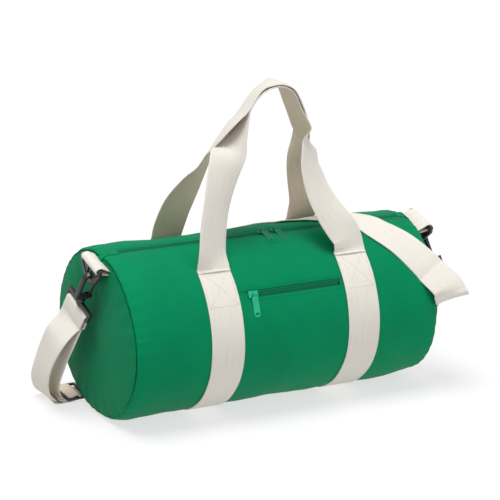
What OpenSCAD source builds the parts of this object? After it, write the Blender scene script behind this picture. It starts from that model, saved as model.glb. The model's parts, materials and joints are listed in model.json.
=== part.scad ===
// Soft barrel bag with two webbing grip handles, zips and a clip-on shoulder strap.
// X runs along the barrel, -Y is the pocket side, Z is up; the base rests on Z = 0.

/* [Barrel] */
// Length between the two end seams
barrel_length = 486; // [484:2:560]
// Diameter of the round body
barrel_d = 244; // [236:2:260]
// How far the round body sinks into its flat base
base_sink = 3; // [3:0.5:8]
// Thickness of the woven cloth
cloth_t = 1.5; // [1:0.1:2]
// How far each stuffed end panel bulges
end_bulge = 10; // [6:1:14]

/* [Webbing] */
// Width of every webbing band, handle and strap
webbing_w = 50; // [40:1:50]
// Thickness of the webbing
webbing_t = 2; // [1.4:0.1:2.4]
// Distance between the middles of the two bands
band_pitch = 216; // [216:2:236]
// Height of the grip handles above their feet
handle_rise = 241; // [200:1:270]

/* [Zips] */
// Length of the main opening along the top
main_slot_l = 456; // [320:4:456]
// Length of the front pocket opening
pocket_slot_l = 150; // [120:2:150]
// Height of the front pocket opening
pocket_slot_w = 10; // [9:0.5:12]
// Length of the flat tab on each main slider
main_tab_l = 34; // [26:1:36]
// Length of the flat tab on the pocket slider
pocket_tab_l = 33; // [26:1:36]

/* [Clips] */
// Distance from the end seam out to the ring's bar
ring_reach = 21; // [19:1:26]
// Height of the flat ring from its bar to its lower bar
ring_drop = 25; // [24:1:30]

/* [Hidden] */
$fn = 64;

// Clearances and the overrun of every cut
over = 1;
seat = 0.2;
run_gap = 0.4;
patch_gap = 1;

// Body
barrel_r = barrel_d / 2;
axis_z = barrel_r - base_sink;
half_l = barrel_length / 2;
base_t = 3.6;
shell_l = barrel_length - 2 * cloth_t - 2 * seat;
binding_w = 8;
binding_t = 2;

// Bands and handle feet
band_top_a = 53;
band_r = barrel_r + seat;
foot_r = band_r + webbing_t + seat + webbing_t / 2;
foot_y = foot_r * cos(band_top_a);
foot_z = axis_z + foot_r * sin(band_top_a);

// Zip chain shared by both zips
tooth_pitch = 3.2;
tooth_w = 1.5;
tooth_reach = 2.5;
tooth_t = 2.4;
bead_w = 1.3;
neck_w = 1;
chain_half = neck_w / 2 + seat + tooth_reach;
tape_t = 0.8;
stop_l = 3;

// Sliders and their flat tabs
plate_t = 1.2;
slider_l = 14;
slider_w = 9.6;
left_slider_x = 1;
slider_pitch = 21;
main_slider_x = [left_slider_x, left_slider_x + slider_pitch];
lug_w = 1.6;
lug_gap = 5.4;
bar_d = 1.8;
tab_w = 9.2;
tab_t = 1.8;
tab_eye_w = 4.6;
tab_eye_d = 4.6;
tab_hole_w = 3.4;
tab_hole_l = 5.6;
tab_rim = 0.35;
tab_rim_w = 1.6;
bar_lift = tab_eye_d / 2 + run_gap;

// Main zip along the top
main_a = 84.5;
main_slot_w = 12;
main_tape_w = 32;
tape_r = barrel_r - cloth_t - seat;
chain_r = tape_r - tape_t / 2 - tooth_t / 2;
bar_r = chain_r + tooth_t + run_gap + plate_t + bar_lift;
rest_lean = acos((barrel_r + tab_t / 2 + run_gap) / bar_r);

// Front pocket
pocket_a = 32;
pocket_x = 4.5;
pocket_tape_w = 30;
pocket_tape_end = 1;
patch_margin = 2.5;
patch_half_l = max(
    (band_pitch - webbing_w) / 2 - patch_gap, pocket_x + pocket_slot_l / 2 + patch_margin
);
patch_bottom_a = -52;
seat_a = seat / barrel_r * 180 / PI;
pocket_upper_a = pocket_a + pocket_slot_w / 2 / barrel_r * 180 / PI;
bag_depth = 9;
bag_t = 1;
bag_top_a = 41;
slider_inset = 10;
pocket_slider_x = pocket_x - pocket_slot_l / 2 + slider_inset;

// Clip hardware at each end
ring_bar_d = 6;
ring_t = 5;
ring_rim = 4.6;
ring_side_gap = 0.4;
ring_w = webbing_w + 2 * ring_rim + 2 * ring_side_gap;
ring_foot_w = 18;
tab_y = -17;
tab_lean = 13;
tab_seam_gap = 2;
tab_fall = 7.5;
ring_x = -half_l - ring_reach;
tab_drop = 12;
ring_z = axis_z + barrel_r - tab_drop;
eye_y = tab_y + ring_drop * sin(tab_lean);
eye_z = ring_z - ring_drop * cos(tab_lean);
hook_turn = [28, 4, 11];
hook_bore_r = 8;
hook_wall = 4.6;
hook_tip = 5;
hook_t = 7;
hook_l = 34;
hook_foot_t = 7;
gate_t = 3.6;
gate_w = 3.2;
gate_eye_d = 6;
gate_pin_d = 3;
mouth_gap = 0.5;
stem_d = 5;
head_d = 7.4;
head_t = 2;
collar_d = 11;
collar_l = 5;
frame_bar = 5;
prong_w = 4.5;
prong_gap = 0.5;
swivel_w = webbing_w + 2 * prong_w + 2 * prong_gap;
slot_h = 5.4;
strap_bar_d = 5;
fold_tail = 10;
layer_u = strap_bar_d / 2 + seat + webbing_t / 2;

// Places on the clip's own axes
pin_u = hook_bore_r + hook_wall / 2;
pin_w = -hook_l + hook_foot_t / 2;
collar_w = -hook_l - run_gap;
frame_w = collar_w - collar_l;
slot_w = frame_w - frame_bar;
strap_bar_w = slot_w - slot_h - strap_bar_d / 2;

// Strap adjuster lying on the floor behind the left end
glide_gap = 8;
glide_x = -half_l - glide_gap;
glide_y = 84;
glide_side = 5;
glide_l = 36;
glide_t = 3;
glide_rail = 4.6;
floor_z = webbing_t / 2 + seat;
second_z = floor_z + webbing_t + seat;
glide_z = second_z + webbing_t / 2 + seat;
weave_z = glide_z + glide_t + webbing_t / 2 + 2 * seat;

// Strap ends: where they leave the folds and how far they run straight
tail_w = strap_bar_w - fold_tail - seat;
lead = 4;
tail_run = 14;
strap_r = foot_r + run_gap;
long_end_share = 2 / 3;
long_end_x = glide_l * long_end_share + seat;

// Stations of both loop layers beside the tri-glide, as shares of its length
outer_floor_shares = [-5 / 6, -1 / 2, -1 / 4];
outer_floor_z = [floor_z, floor_z, floor_z + seat];
inner_floor_shares = [
    -2 / 3, -4 / 9, -0.36, -0.23, -0.1, 0, 0.1, 0.23, 0.4, 1 / 2, 2 / 3
];
inner_floor_z = [
    second_z + webbing_t / 2, second_z, second_z + seat, (second_z + weave_z) / 2,
    weave_z - seat, weave_z + seat, weave_z - seat, (floor_z + weave_z) / 2,
    floor_z + seat, floor_z, floor_z
];

// Length that the strap's path shares are shares of
path_unit = 100;
// Steps between two stations of a path, and of the run that lies on the barrel
path_steps = 5;
barrel_steps = 8;

// Paths

// Each station of a grip: along, across and up as shares, then the face direction
front_handle_shares = [
    [-1, -1, 0, 0, -0.6, 0.8],
    [-1, -0.985, 0.02, 0, -0.8, 0.6],
    [-1, -0.94, 0.086, 0, -0.9, 0.3],
    [-0.945, -0.837, 0.21, 0.3, -0.95, 0.1],
    [-0.855, -0.695, 0.342, 0.3, -0.95, 0.1],
    [-0.75, -0.566, 0.465, 0.15, -0.97, 0.15],
    [-0.63, -0.425, 0.576, -0.15, -0.92, 0.3],
    [-0.485, -0.2, 0.687, -0.5, -0.55, 0.55],
    [-0.335, -0.05, 0.774, -0.65, -0.05, 0.7],
    [-0.195, -0.015, 0.852, -0.62, 0.25, 0.72],
    [-0.055, -0.007, 0.909, -0.5, 0.3, 0.8],
    [0.073, 0, 0.944, -0.25, 0.2, 0.95],
    [0.2, 0, 0.959, 0.05, 0.1, 1],
    [0.34, 0, 0.92, 0.7, 0, 0.7],
    [0.477, 0, 0.802, 0.88, 0, 0.47],
    [0.57, -0.06, 0.695, 0.9, -0.25, 0.3],
    [0.59, -0.25, 0.605, 0.75, -0.65, 0.1],
    [0.59, -0.45, 0.5, 0.45, -0.9, 0],
    [0.63, -0.605, 0.374, 0.4, -0.9, 0],
    [0.727, -0.746, 0.259, 0.35, -0.93, 0.05],
    [0.864, -0.875, 0.156, 0.2, -0.97, 0.1],
    [1, -0.952, 0.078, 0, -0.9, 0.3],
    [1, -0.985, 0.02, 0, -0.8, 0.6],
    [1, -1, 0, 0, -0.6, 0.8]
];
grip_lift = 3.5;
grip_start_lift = 11;
grip_first = 8;
grip_last = 14;
back_left_leg_shares = [
    [-1, 1, 0, 0, 0.6, 0.8],
    [-1, 0.985, 0.02, 0, 0.8, 0.6],
    [-1, 0.94, 0.09, 0, 0.95, 0.3],
    [-0.91, 0.8, 0.218, -0.1, 1, 0.1],
    [-0.79, 0.64, 0.354, -0.35, 0.9, 0.2],
    [-0.65, 0.5, 0.473, -0.6, 0.7, 0.35],
    [-0.56, 0.34, 0.6, -0.7, 0.55, 0.4],
    [-0.6, 0.16, 0.72, -0.75, 0.3, 0.55]
];
back_right_leg_shares = [
    [0.67, 0.06, 0.7, 0.92, 0.1, 0.35],
    [0.79, 0.2, 0.62, 0.9, 0.42, 0.2],
    [0.87, 0.36, 0.53, 0.8, 0.6, 0.05],
    [0.92, 0.5, 0.432, 0.55, 0.83, 0],
    [0.98, 0.7, 0.28, 0.25, 0.95, 0],
    [1, 0.94, 0.09, 0, 0.95, 0.3],
    [1, 0.985, 0.02, 0, 0.8, 0.6],
    [1, 1, 0, 0, 0.6, 0.8]
];

// Run of the strap over the barrel: along as a share, then the angle up from the front
over_barrel_shares = [
    [2.34, 31], [2.03, 51], [1.75, 68], [1.56, 86], [1.09, 101], [0.83, 108],
    [0.58, 118], [0.03, 133], [-0.5, 150], [-1, 170]
];
// Fold at the right end, from the clip round to the front of the barrel
fold_shares = [
    [2.84, -0.6, 1.3, 0.9, 0.05, -0.35],
    [2.85, -0.77, 1.29, 0.7, 0, -0.7],
    [2.82, -0.98, 1.31, 0.4, 0, -0.92],
    [2.75, -1.16, 1.33, 0.2, -0.05, -0.97],
    [2.67, -1.275, 1.36, 0.1, -0.5, -0.85],
    [2.59, -1.3, 1.44, 0.05, -0.92, -0.35],
    [2.5, -1.24, 1.57, 0, -0.93, 0.35]
];
// Landing of the strap behind the barrel
landing_shares = [
    [-1.32, 1.29, 0.92, 0, 1, 0.05],
    [-1.58, 1.29, 0.62, 0.05, 0.95, 0.35],
    [-1.8, 1.2, 0.36, 0.15, 0.7, 0.7],
    [-1.97, 1.06, 0.15, 0.2, 0.25, 0.93],
    [-2.07, 0.93, 0.045, 0.12, 0.03, 1]
];
// The two layers of the strap's loop that hangs from the left clip
outer_loop_shares = [
    [-0.565, 0.27, 1.14, -1, -0.1, 0.1],
    [-0.62, 0.46, 0.82, -1, 0, 0.05],
    [-0.62, 0.63, 0.52, -1, 0, -0.1],
    [-0.57, 0.77, 0.26, -0.85, 0, -0.5],
    [-0.47, 0.84, 0.08, -0.4, 0, -0.9]
];
inner_loop_shares = [
    [-0.39, 0.25, 1.1, -1, 0, 0.2],
    [-0.42, 0.45, 0.8, -1, 0, 0.1],
    [-0.43, 0.64, 0.53, -1, 0, -0.05],
    [-0.42, 0.78, 0.3, -0.9, 0, -0.4],
    [-0.38, 0.84, 0.14, -0.6, 0, -0.8]
];

// Placing

// Puts +Z outward at angle a of the barrel, with +Y going up and over
module at_angle(a) {
    translate([0, 0, axis_z]) rotate([90 - a, 0, 0]) children();
}

// Runs a drawing of the YZ plane along X
module along_x(x0, x1) {
    translate([x0, 0, 0]) rotate([90, 0, 90]) linear_extrude(x1 - x0) children();
}

// Turns the left clip about its ring's eye and sets it at the right end
module to_right() {
    translate([0, 2 * eye_y, 0]) rotate([0, 0, 180]) children();
}

// Round outline with its flat base
module barrel_outline(r, floor_z) {
    intersection() {
        translate([0, axis_z]) circle(r, $fn = 180);
        translate([-r - over, floor_z]) square([2 * r + 2 * over, 2 * axis_z + r]);
    }
}

// Curved strip in the frame of at_angle, from radius r0 to r1 and from y0 to y1
module arc_strip(r0, r1, y0, y1, x0, x1) {
    along_x(x0, x1) intersection() {
        difference() {
            circle(r1, $fn = 180);
            circle(r0, $fn = 180);
        }
        translate([y0, 0]) square([y1 - y0, r1 + over]);
    }
}

// Cut between two angles of the barrel, as a wide fan with its tip on the axis
module fan(a0, a1, r) {
    reach = r * 2;
    translate([0, axis_z]) polygon([
        [0, 0],
        [-reach * cos(a0), reach * sin(a0)],
        [-reach * cos((a0 + a1) / 2), reach * sin((a0 + a1) / 2)],
        [-reach * cos(a1), reach * sin(a1)]
    ]);
}

// Webbing as a swept flat section

function unit(v) = v / norm(v);
function place(p) = [p[0], p[1], p[2]];
function face(p) = [p[3], p[4], p[5]];
function curve(a, b, c, d, u) =
    b + (c - a) * u / 2 + (2 * a - 5 * b + 4 * c - d) * u * u / 2
    + (3 * b - a - 3 * c + d) * u * u * u / 2;
function smooth(s, steps = path_steps) = [
    for (i = [0 : len(s) - 2], k = [0 : steps - 1])
        curve(s[max(i - 1, 0)], s[i], s[i + 1], s[min(i + 2, len(s) - 1)], k / steps),
    s[len(s) - 1]
];
function heading(s, i) = unit(place(s[min(i + 1, len(s) - 1)]) - place(s[max(i - 1, 0)]));
function square_to(n, t) = unit(n - (n * t) * t);
function corners(s, i, w, t) =
    let (c = place(s[i]), h = heading(s, i), n = square_to(face(s[i]), h), side = cross(h, n))
    [
        c + side * w / 2 + n * t / 2, c - side * w / 2 + n * t / 2,
        c - side * w / 2 - n * t / 2, c + side * w / 2 - n * t / 2
    ];

module ribbon(s, w = webbing_w, t = webbing_t) {
    last = len(s) - 1;
    points = [for (i = [0 : last]) each corners(s, i, w, t)];
    sides = [
        for (i = [0 : last - 1], k = [0 : 3])
            let (a = 4 * i + k, b = 4 * i + (k + 1) % 4)
            each [[a, b + 4, a + 4], [a, b, b + 4]]
    ];
    caps = [
        [0, 2, 1], [0, 3, 2],
        [4 * last, 4 * last + 1, 4 * last + 2], [4 * last, 4 * last + 2, 4 * last + 3]
    ];
    polyhedron(points, concat(sides, caps));
}

function on_barrel(x, a, r) = [x, -r * cos(a), axis_z + r * sin(a), 0, -cos(a), sin(a)];
function from_handle(p) = [
    p[0] * band_pitch / 2, p[1] * foot_y, foot_z + p[2] * handle_rise, p[3], p[4], p[5]
];
// Lies a station on top of another layer
function lifted(p, d) = concat(place(p) + d * unit(face(p)), face(p));
function from_unit(p, x0 = 0) = [
    x0 + p[0] * path_unit, p[1] * path_unit, p[2] * path_unit, p[3], p[4], p[5]
];

// Body

module barrel_panel() {
    color([0.06, 0.53, 0.35]) difference() {
        along_x(-shell_l / 2, shell_l / 2) difference() {
            barrel_outline(barrel_r, 0);
            barrel_outline(barrel_r - cloth_t, base_t);
        }
        at_angle(main_a) slot_cut(0, main_slot_l, main_slot_w);
        window_cut();
        for (side = [-1, 1]) band_groove(side);
    }
}

module slot_cut(x, l, w) {
    translate([x - l / 2, -w / 2, barrel_r / 2]) cube([l, w, barrel_r]);
}

// Window that the pocket's panel fills
module window_cut() {
    along_x(-patch_half_l - seat, patch_half_l + seat)
        fan(patch_bottom_a - seat_a, pocket_upper_a + seat_a, barrel_r);
}

module band_groove(side) {
    translate([
        side * band_pitch / 2 - webbing_w / 2 - seat, -barrel_r, -over
    ]) cube([webbing_w + 2 * seat, barrel_d, webbing_t + seat + over]);
}

module end_panel(side) {
    steps = 10;
    color([0.05, 0.44, 0.27]) mirror([side > 0 ? 0 : 1, 0, 0]) intersection() {
        translate([half_l, 0, axis_z]) rotate([0, 90, 0]) rotate_extrude($fn = 180) polygon([
            for (k = [0 : steps]) dome_point(k / steps, 0),
            for (k = [steps : -1 : 0]) dome_point(k / steps, cloth_t)
        ]);
        translate([0, -barrel_r, 0]) cube([barrel_length, barrel_d, barrel_d]);
    }
}

// Point of the stuffed end's outline, at a share of the radius
function dome_point(share, inset) = [
    barrel_r * share, end_bulge * (1 - share * share) - inset
];

// Cloth between the bands under the pocket zip
module pocket_panel() {
    color([0.06, 0.55, 0.36]) difference() {
        along_x(-patch_half_l, patch_half_l) intersection() {
            difference() {
                barrel_outline(barrel_r, 0);
                barrel_outline(barrel_r - cloth_t, 0);
            }
            fan(patch_bottom_a, pocket_upper_a, barrel_r);
        }
        at_angle(pocket_a) slot_cut(pocket_x, pocket_slot_l, pocket_slot_w);
    }
}

// Shallow bag sewn behind the pocket's panel, open towards it
module pocket_lining() {
    r = barrel_r - cloth_t - seat;
    bag_edge_a = bag_t / r * 180 / PI;
    color([0.04, 0.36, 0.24]) difference() {
        along_x(-patch_half_l, patch_half_l) intersection() {
            difference() {
                barrel_outline(r, 0);
                barrel_outline(r - bag_depth - bag_t, 0);
            }
            fan(patch_bottom_a, bag_top_a, barrel_r);
        }
        along_x(-patch_half_l + bag_t, patch_half_l - bag_t) intersection() {
            difference() {
                barrel_outline(r + over, 0);
                barrel_outline(r - bag_depth, 0);
            }
            fan(patch_bottom_a + bag_edge_a, bag_top_a - bag_edge_a, barrel_r);
        }
    }
}

module seam_binding(side) {
    x0 = shell_l / 2 - binding_w;
    color([0.03, 0.3, 0.2])
        mirror([side > 0 ? 0 : 1, 0, 0])
        along_x(x0, shell_l / 2) difference() {
            barrel_outline(barrel_r - cloth_t - seat, base_t + seat);
            barrel_outline(barrel_r - cloth_t - seat - binding_t, base_t + seat + binding_t);
        }
}

// Bands

module band(side) {
    x0 = side * band_pitch / 2 - webbing_w / 2;
    color([0.87, 0.85, 0.8])
        along_x(x0, x0 + webbing_w) difference() {
            barrel_outline(band_r + webbing_t, 0);
            barrel_outline(band_r, webbing_t);
            fan(band_top_a, 180 - band_top_a, barrel_r);
        }
}

// Handles

module handle_front() {
    color([0.89, 0.87, 0.83]) ribbon(smooth([for (p = front_handle_shares) from_handle(p)]));
}

module handle_back() {
    color([0.89, 0.87, 0.83]) ribbon(smooth(concat(
        [for (p = back_left_leg_shares) from_handle(p)],
        [for (i = [grip_first : grip_last])
            lifted(from_handle(front_handle_shares[i]), i == grip_first ? grip_start_lift : grip_lift)],
        [for (p = back_right_leg_shares) from_handle(p)]
    )));
}

// Zips

// One row of teeth with its bead, along +X, teeth towards -Y
module teeth_row(l, first) {
    count = floor((l - tooth_w - first) / tooth_pitch);
    outline = [
        [0, chain_half + bead_w], [0, chain_half],
        for (i = [0 : count]) each [
            [first + i * tooth_pitch, chain_half],
            [first + i * tooth_pitch, chain_half - tooth_reach],
            [first + i * tooth_pitch + tooth_w, chain_half - tooth_reach],
            [first + i * tooth_pitch + tooth_w, chain_half]
        ],
        [l, chain_half], [l, chain_half + bead_w]
    ];
    linear_extrude(tooth_t) polygon(outline);
}

// Row of teeth of a zip of length l about x, on the side given
module zip_row(x, l, r, side) {
    color([0.1, 0.5, 0.36])
        translate([x - l / 2 + stop_l + seat, 0, r]) mirror([0, side > 0 ? 0 : 1, 0])
        teeth_row(l - 2 * stop_l - 2 * seat, side > 0 ? seat : seat + tooth_pitch / 2);
}

// Stops that close both ends of a zip
module zip_stops(x, l, r) {
    color([0.1, 0.5, 0.36]) for (side = [-1, 1])
        translate([
            x + side * (l / 2 - stop_l / 2) - stop_l / 2, -chain_half - bead_w, r
        ]) cube([stop_l, 2 * (chain_half + bead_w), tooth_t]);
}

// Slider body: two plates, a neck between the rows and a bridge for the tab
module zip_slider(x, r) {
    low = r - run_gap - plate_t;
    high = r + tooth_t + run_gap;
    bridge = high + plate_t;
    color([0.08, 0.46, 0.33]) translate([x, 0, 0]) {
        translate([-slider_l / 2, -slider_w / 2, low]) cube([slider_l, slider_w, plate_t]);
        translate([-slider_l / 2, -slider_w / 2, high]) cube([slider_l, slider_w, plate_t]);
        translate([-slider_l / 4, -neck_w / 2, low]) cube([slider_l / 2, neck_w, high - low + plate_t]);
        for (side = [-1, 1])
            translate([side * (lug_gap + lug_w) / 2 - lug_w / 2, -bar_d, bridge - seat])
            cube([lug_w, 2 * bar_d, bar_lift + bar_d / 2 + seat]);
        translate([-lug_gap / 2 - lug_w, 0, bridge + bar_lift])
            rotate([0, 90, 0]) cylinder(lug_gap + 2 * lug_w, d = bar_d, $fn = 32);
    }
}

// Flat tab with its eye on the bar at the origin, hanging along -Y, with an oval end hole
module zip_tab(l) {
    color([0.1, 0.55, 0.4]) {
        difference() {
            union() {
                rotate([0, 90, 0]) translate([0, 0, -tab_eye_w / 2])
                    cylinder(tab_eye_w, d = tab_eye_d, $fn = 32);
                translate([-tab_eye_w / 2, -tab_eye_d - over, -tab_t / 2])
                    cube([tab_eye_w, tab_eye_d + over, tab_t]);
                translate([0, 0, -tab_t / 2]) linear_extrude(tab_t) tab_outline(l, 0);
            }
            rotate([0, 90, 0]) translate([0, 0, -tab_w / 2])
                cylinder(tab_w, d = bar_d + run_gap, $fn = 32);
            translate([0, 0, -tab_t / 2 - over]) linear_extrude(tab_t + 2 * over)
                end_hole(l);
            for (side = [-1, 1])
                translate([0, 0, side * (tab_t / 2 + over - tab_rim) - over])
                linear_extrude(2 * over) difference() {
                    tab_outline(l, tab_rim_w);
                    translate([0, -l + tab_hole_w + tab_rim_w]) circle(d = tab_w, $fn = 32);
                }
        }
    }
}

module tab_outline(l, rim) {
    w = tab_w - 2 * rim;
    top = -tab_eye_d - rim;
    low = -l + tab_w / 2;
    translate([-w / 2, low]) square([w, top - low]);
    translate([0, low]) circle(d = w, $fn = 32);
}

module end_hole(l) {
    low = -l + tab_w / 2;
    r = tab_hole_w / 2;
    span = tab_hole_l - tab_hole_w;
    for (side = [-1, 1]) translate([side * span / 2, low]) circle(r, $fn = 24);
    translate([-span / 2, low - r]) square([span, 2 * r]);
}

module zip_tape(side, r, w, x0, x1) {
    color([0.08, 0.5, 0.34]) mirror([0, side > 0 ? 0 : 1, 0])
        arc_strip(r - tape_t, r, chain_half + bead_w + seat, w / 2, x0, x1);
}

module main_zip_tape(side) {
    end = shell_l / 2 - binding_w - seat;
    at_angle(main_a) zip_tape(side, tape_r, main_tape_w, -end, end);
}

module main_zip_teeth(side) {
    at_angle(main_a) zip_row(0, main_slot_l, chain_r, side);
}

module main_zip_ends() {
    at_angle(main_a) zip_stops(0, main_slot_l, chain_r);
}

module main_slider(i) {
    at_angle(main_a) zip_slider(main_slider_x[i], chain_r);
}

module main_pull(i) {
    at_angle(main_a) translate([main_slider_x[i], 0, bar_r])
        rotate([rest_lean, 0, 0]) zip_tab(main_tab_l);
}

module pocket_zip_tape(side) {
    x0 = pocket_x - pocket_slot_l / 2 - pocket_tape_end;
    at_angle(pocket_a)
        zip_tape(side, tape_r - seat, pocket_tape_w, x0, x0 + pocket_slot_l + 2 * pocket_tape_end);
}

module pocket_zip_teeth(side) {
    at_angle(pocket_a) zip_row(pocket_x, pocket_slot_l, chain_r, side);
}

module pocket_zip_ends() {
    at_angle(pocket_a) zip_stops(pocket_x, pocket_slot_l, chain_r);
}

module pocket_slider() {
    at_angle(pocket_a) zip_slider(pocket_slider_x, chain_r);
}

module pocket_pull() {
    at_angle(pocket_a) translate([pocket_slider_x, 0, bar_r])
        rotate([rest_lean, 0, 0]) zip_tab(pocket_tab_l);
}

// Ring tabs and rings, drawn at the left end

// Runs a drawing of the XZ plane along Y, centred
module along_y(w) {
    translate([0, w / 2, 0]) rotate([90, 0, 0]) linear_extrude(w) children();
}

// Frame of the ring's bar, which leans with the seam that carries it
module in_ring() {
    translate([ring_x, tab_y, ring_z]) rotate([tab_lean, 0, 0]) children();
}

module ring_tab() {
    tail = norm([ring_reach - tab_seam_gap, tab_fall]);
    color([0.87, 0.85, 0.8]) in_ring() along_y(webbing_w)
        difference() {
            union() {
                circle(ring_bar_d / 2 + seat + webbing_t, $fn = 48);
                rotate(atan2(tab_fall, ring_reach - tab_seam_gap))
                    translate([0, -webbing_t]) square([tail, 2 * webbing_t]);
            }
            circle(ring_bar_d / 2 + seat, $fn = 48);
        }
}

module ring() {
    half = ring_w / 2;
    low = -ring_drop - ring_bar_d / 2;
    shoulder = -ring_bar_d - ring_side_gap;
    color([0.13, 0.12, 0.13]) in_ring() {
        along_x(-ring_t / 2, ring_t / 2) difference() {
            polygon([
                [-half, ring_bar_d / 2], [half, ring_bar_d / 2], [half, shoulder],
                [ring_foot_w / 2 + ring_rim, low], [-ring_foot_w / 2 - ring_rim, low],
                [-half, shoulder]
            ]);
            polygon([
                [-half + ring_rim, half], [half - ring_rim, half], [half - ring_rim, shoulder],
                [ring_foot_w / 2, low + ring_bar_d], [-ring_foot_w / 2, low + ring_bar_d],
                [-half + ring_rim, shoulder]
            ]);
        }
        translate([0, half - ring_rim / 2, 0]) rotate([90, 0, 0])
            cylinder(ring_w - ring_rim, d = ring_bar_d, $fn = 48);
    }
}

// Clip: hook, gate and swivel, drawn at the left end

// Frame of the clip: origin in the hook's bore, +Z away from the strap, Y along the strap's bar
module in_clip() {
    translate([ring_x, eye_y, eye_z]) rotate(hook_turn) children();
}

module hook() {
    outer = hook_bore_r + hook_wall;
    color([0.13, 0.12, 0.13]) in_clip() difference() {
        union() {
            along_y(hook_t) difference() {
                union() {
                    intersection() {
                        circle(outer, $fn = 64);
                        translate([-outer, 0]) square([2 * outer, outer]);
                    }
                    translate([-outer, -hook_l]) square([hook_wall, hook_l]);
                    translate([hook_bore_r, -hook_tip]) square([hook_wall, hook_tip]);
                    translate([-outer, -hook_l]) square([2 * outer, hook_foot_t]);
                }
                circle(hook_bore_r, $fn = 64);
            }
            translate([pin_u, hook_t / 2, pin_w]) rotate([90, 0, 0])
                cylinder(hook_t, d = gate_eye_d, $fn = 32);
            translate([0, 0, slot_w + head_t]) cylinder(-slot_w - head_t - hook_l + seat, d = stem_d);
            translate([0, 0, slot_w + seat]) cylinder(head_t, d = head_d);
        }
        difference() {
            translate([pin_u - hook_foot_t, -gate_w / 2 - run_gap / 2, -hook_l - over])
                cube([2 * hook_foot_t, gate_w + run_gap, hook_foot_t + 2 * over]);
            translate([pin_u, hook_t / 2, pin_w]) rotate([90, 0, 0])
                cylinder(hook_t, d = gate_pin_d, $fn = 32);
        }
    }
}

module gate() {
    top = -hook_tip - mouth_gap;
    color([0.16, 0.15, 0.16]) in_clip() along_y(gate_w) difference() {
        union() {
            translate([pin_u - gate_t / 2, pin_w]) square([gate_t, top - pin_w]);
            translate([pin_u, pin_w]) circle(d = gate_eye_d, $fn = 32);
        }
        translate([pin_u, pin_w]) circle(d = gate_pin_d + run_gap, $fn = 32);
    }
}

module swivel() {
    half = swivel_w / 2;
    color([0.13, 0.12, 0.13]) in_clip() difference() {
        union() {
            translate([0, 0, slot_w]) cylinder(collar_l + frame_bar, d = collar_d, $fn = 48);
            translate([-frame_bar / 2, -half, slot_w]) cube([frame_bar, swivel_w, frame_bar]);
            for (side = [-1, 1])
                translate([-frame_bar / 2, side * (half - prong_w / 2) - prong_w / 2,
                    strap_bar_w - strap_bar_d / 2
                ]) cube([frame_bar, prong_w, frame_w - strap_bar_w + strap_bar_d / 2]);
            translate([0, half, strap_bar_w]) rotate([90, 0, 0])
                cylinder(swivel_w, d = strap_bar_d, $fn = 48);
        }
        translate([0, 0, slot_w - over])
            cylinder(collar_l + frame_bar + 2 * over, d = stem_d + run_gap);
        translate([0, 0, slot_w - over]) cylinder(head_t + over + 2 * run_gap, d = head_d + run_gap);
    }
}

// End of the strap wrapped round the swivel's bar
module strap_fold() {
    inner = strap_bar_d / 2 + seat;
    color([0.87, 0.85, 0.8]) in_clip() translate([0, 0, strap_bar_w]) along_y(webbing_w)
        difference() {
            union() {
                circle(inner + webbing_t, $fn = 48);
                translate([-inner - webbing_t, -fold_tail])
                    square([2 * (inner + webbing_t), fold_tail]);
            }
            circle(inner, $fn = 48);
            translate([-inner, -fold_tail - over]) square([2 * inner, fold_tail + over]);
        }
}

// Runs of the shoulder strap

function turn_x(v, a) = [v[0], v[1] * cos(a) - v[2] * sin(a), v[1] * sin(a) + v[2] * cos(a)];
function turn_y(v, a) = [v[0] * cos(a) + v[2] * sin(a), v[1], v[2] * cos(a) - v[0] * sin(a)];
function turn_z(v, a) = [v[0] * cos(a) - v[1] * sin(a), v[0] * sin(a) + v[1] * cos(a), v[2]];
function turned(v) = turn_z(turn_y(turn_x(v, hook_turn[0]), hook_turn[1]), hook_turn[2]);
// Station of a strap layer at u across the clip and w along it
function at_clip(u, w) = concat(
    [ring_x, eye_y, eye_z] + turned([u, 0, w]), turned([-1, 0, 0])
);
function to_right(p) = [-p[0], 2 * eye_y - p[1], p[2], -p[3], -p[4], p[5]];
// Station of a layer that lies on the floor at x from the tri-glide
function on_floor(x, z, up = -1) = [glide_x + x, glide_y, z, 0, 0, up];
function strap_flat(x) = on_floor(x, floor_z, 1);

// Run of the strap that lies on the barrel
over_barrel = [
    for (p = smooth(over_barrel_shares, barrel_steps)) on_barrel(p[0] * path_unit, p[1], strap_r)
];

module strap_long() {
    fold_run = smooth(concat(
        [for (w = [tail_w - lead, tail_w - tail_run]) to_right(at_clip(-layer_u, w))],
        [for (p = fold_shares) from_unit(p)],
        [over_barrel[0]]
    ));
    landing_run = smooth(concat(
        [over_barrel[len(over_barrel) - 1]],
        [for (p = landing_shares) from_unit(p)],
        [for (x = [glide_l + lead, long_end_x + lead]) strap_flat(x)]
    ));
    color([0.87, 0.85, 0.8]) ribbon(concat(
        [to_right(at_clip(-layer_u, tail_w))],
        [for (i = [0 : len(fold_run) - 2]) fold_run[i]],
        over_barrel,
        [for (i = [1 : len(landing_run) - 1]) landing_run[i]],
        [strap_flat(long_end_x)]
    ));
}

module strap_outer() {
    color([0.89, 0.87, 0.83]) ribbon(concat([at_clip(-layer_u, tail_w)], smooth(concat(
        [at_clip(-layer_u, tail_w - lead), at_clip(-layer_u - seat, tail_w - tail_run)],
        [for (p = outer_loop_shares) from_unit(p, -half_l)],
        [
            for (i = [0 : len(outer_floor_shares) - 1])
                on_floor(glide_l * outer_floor_shares[i], outer_floor_z[i])
        ],
        [on_floor(glide_rail / 2, second_z)]
    ))));
}

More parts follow.
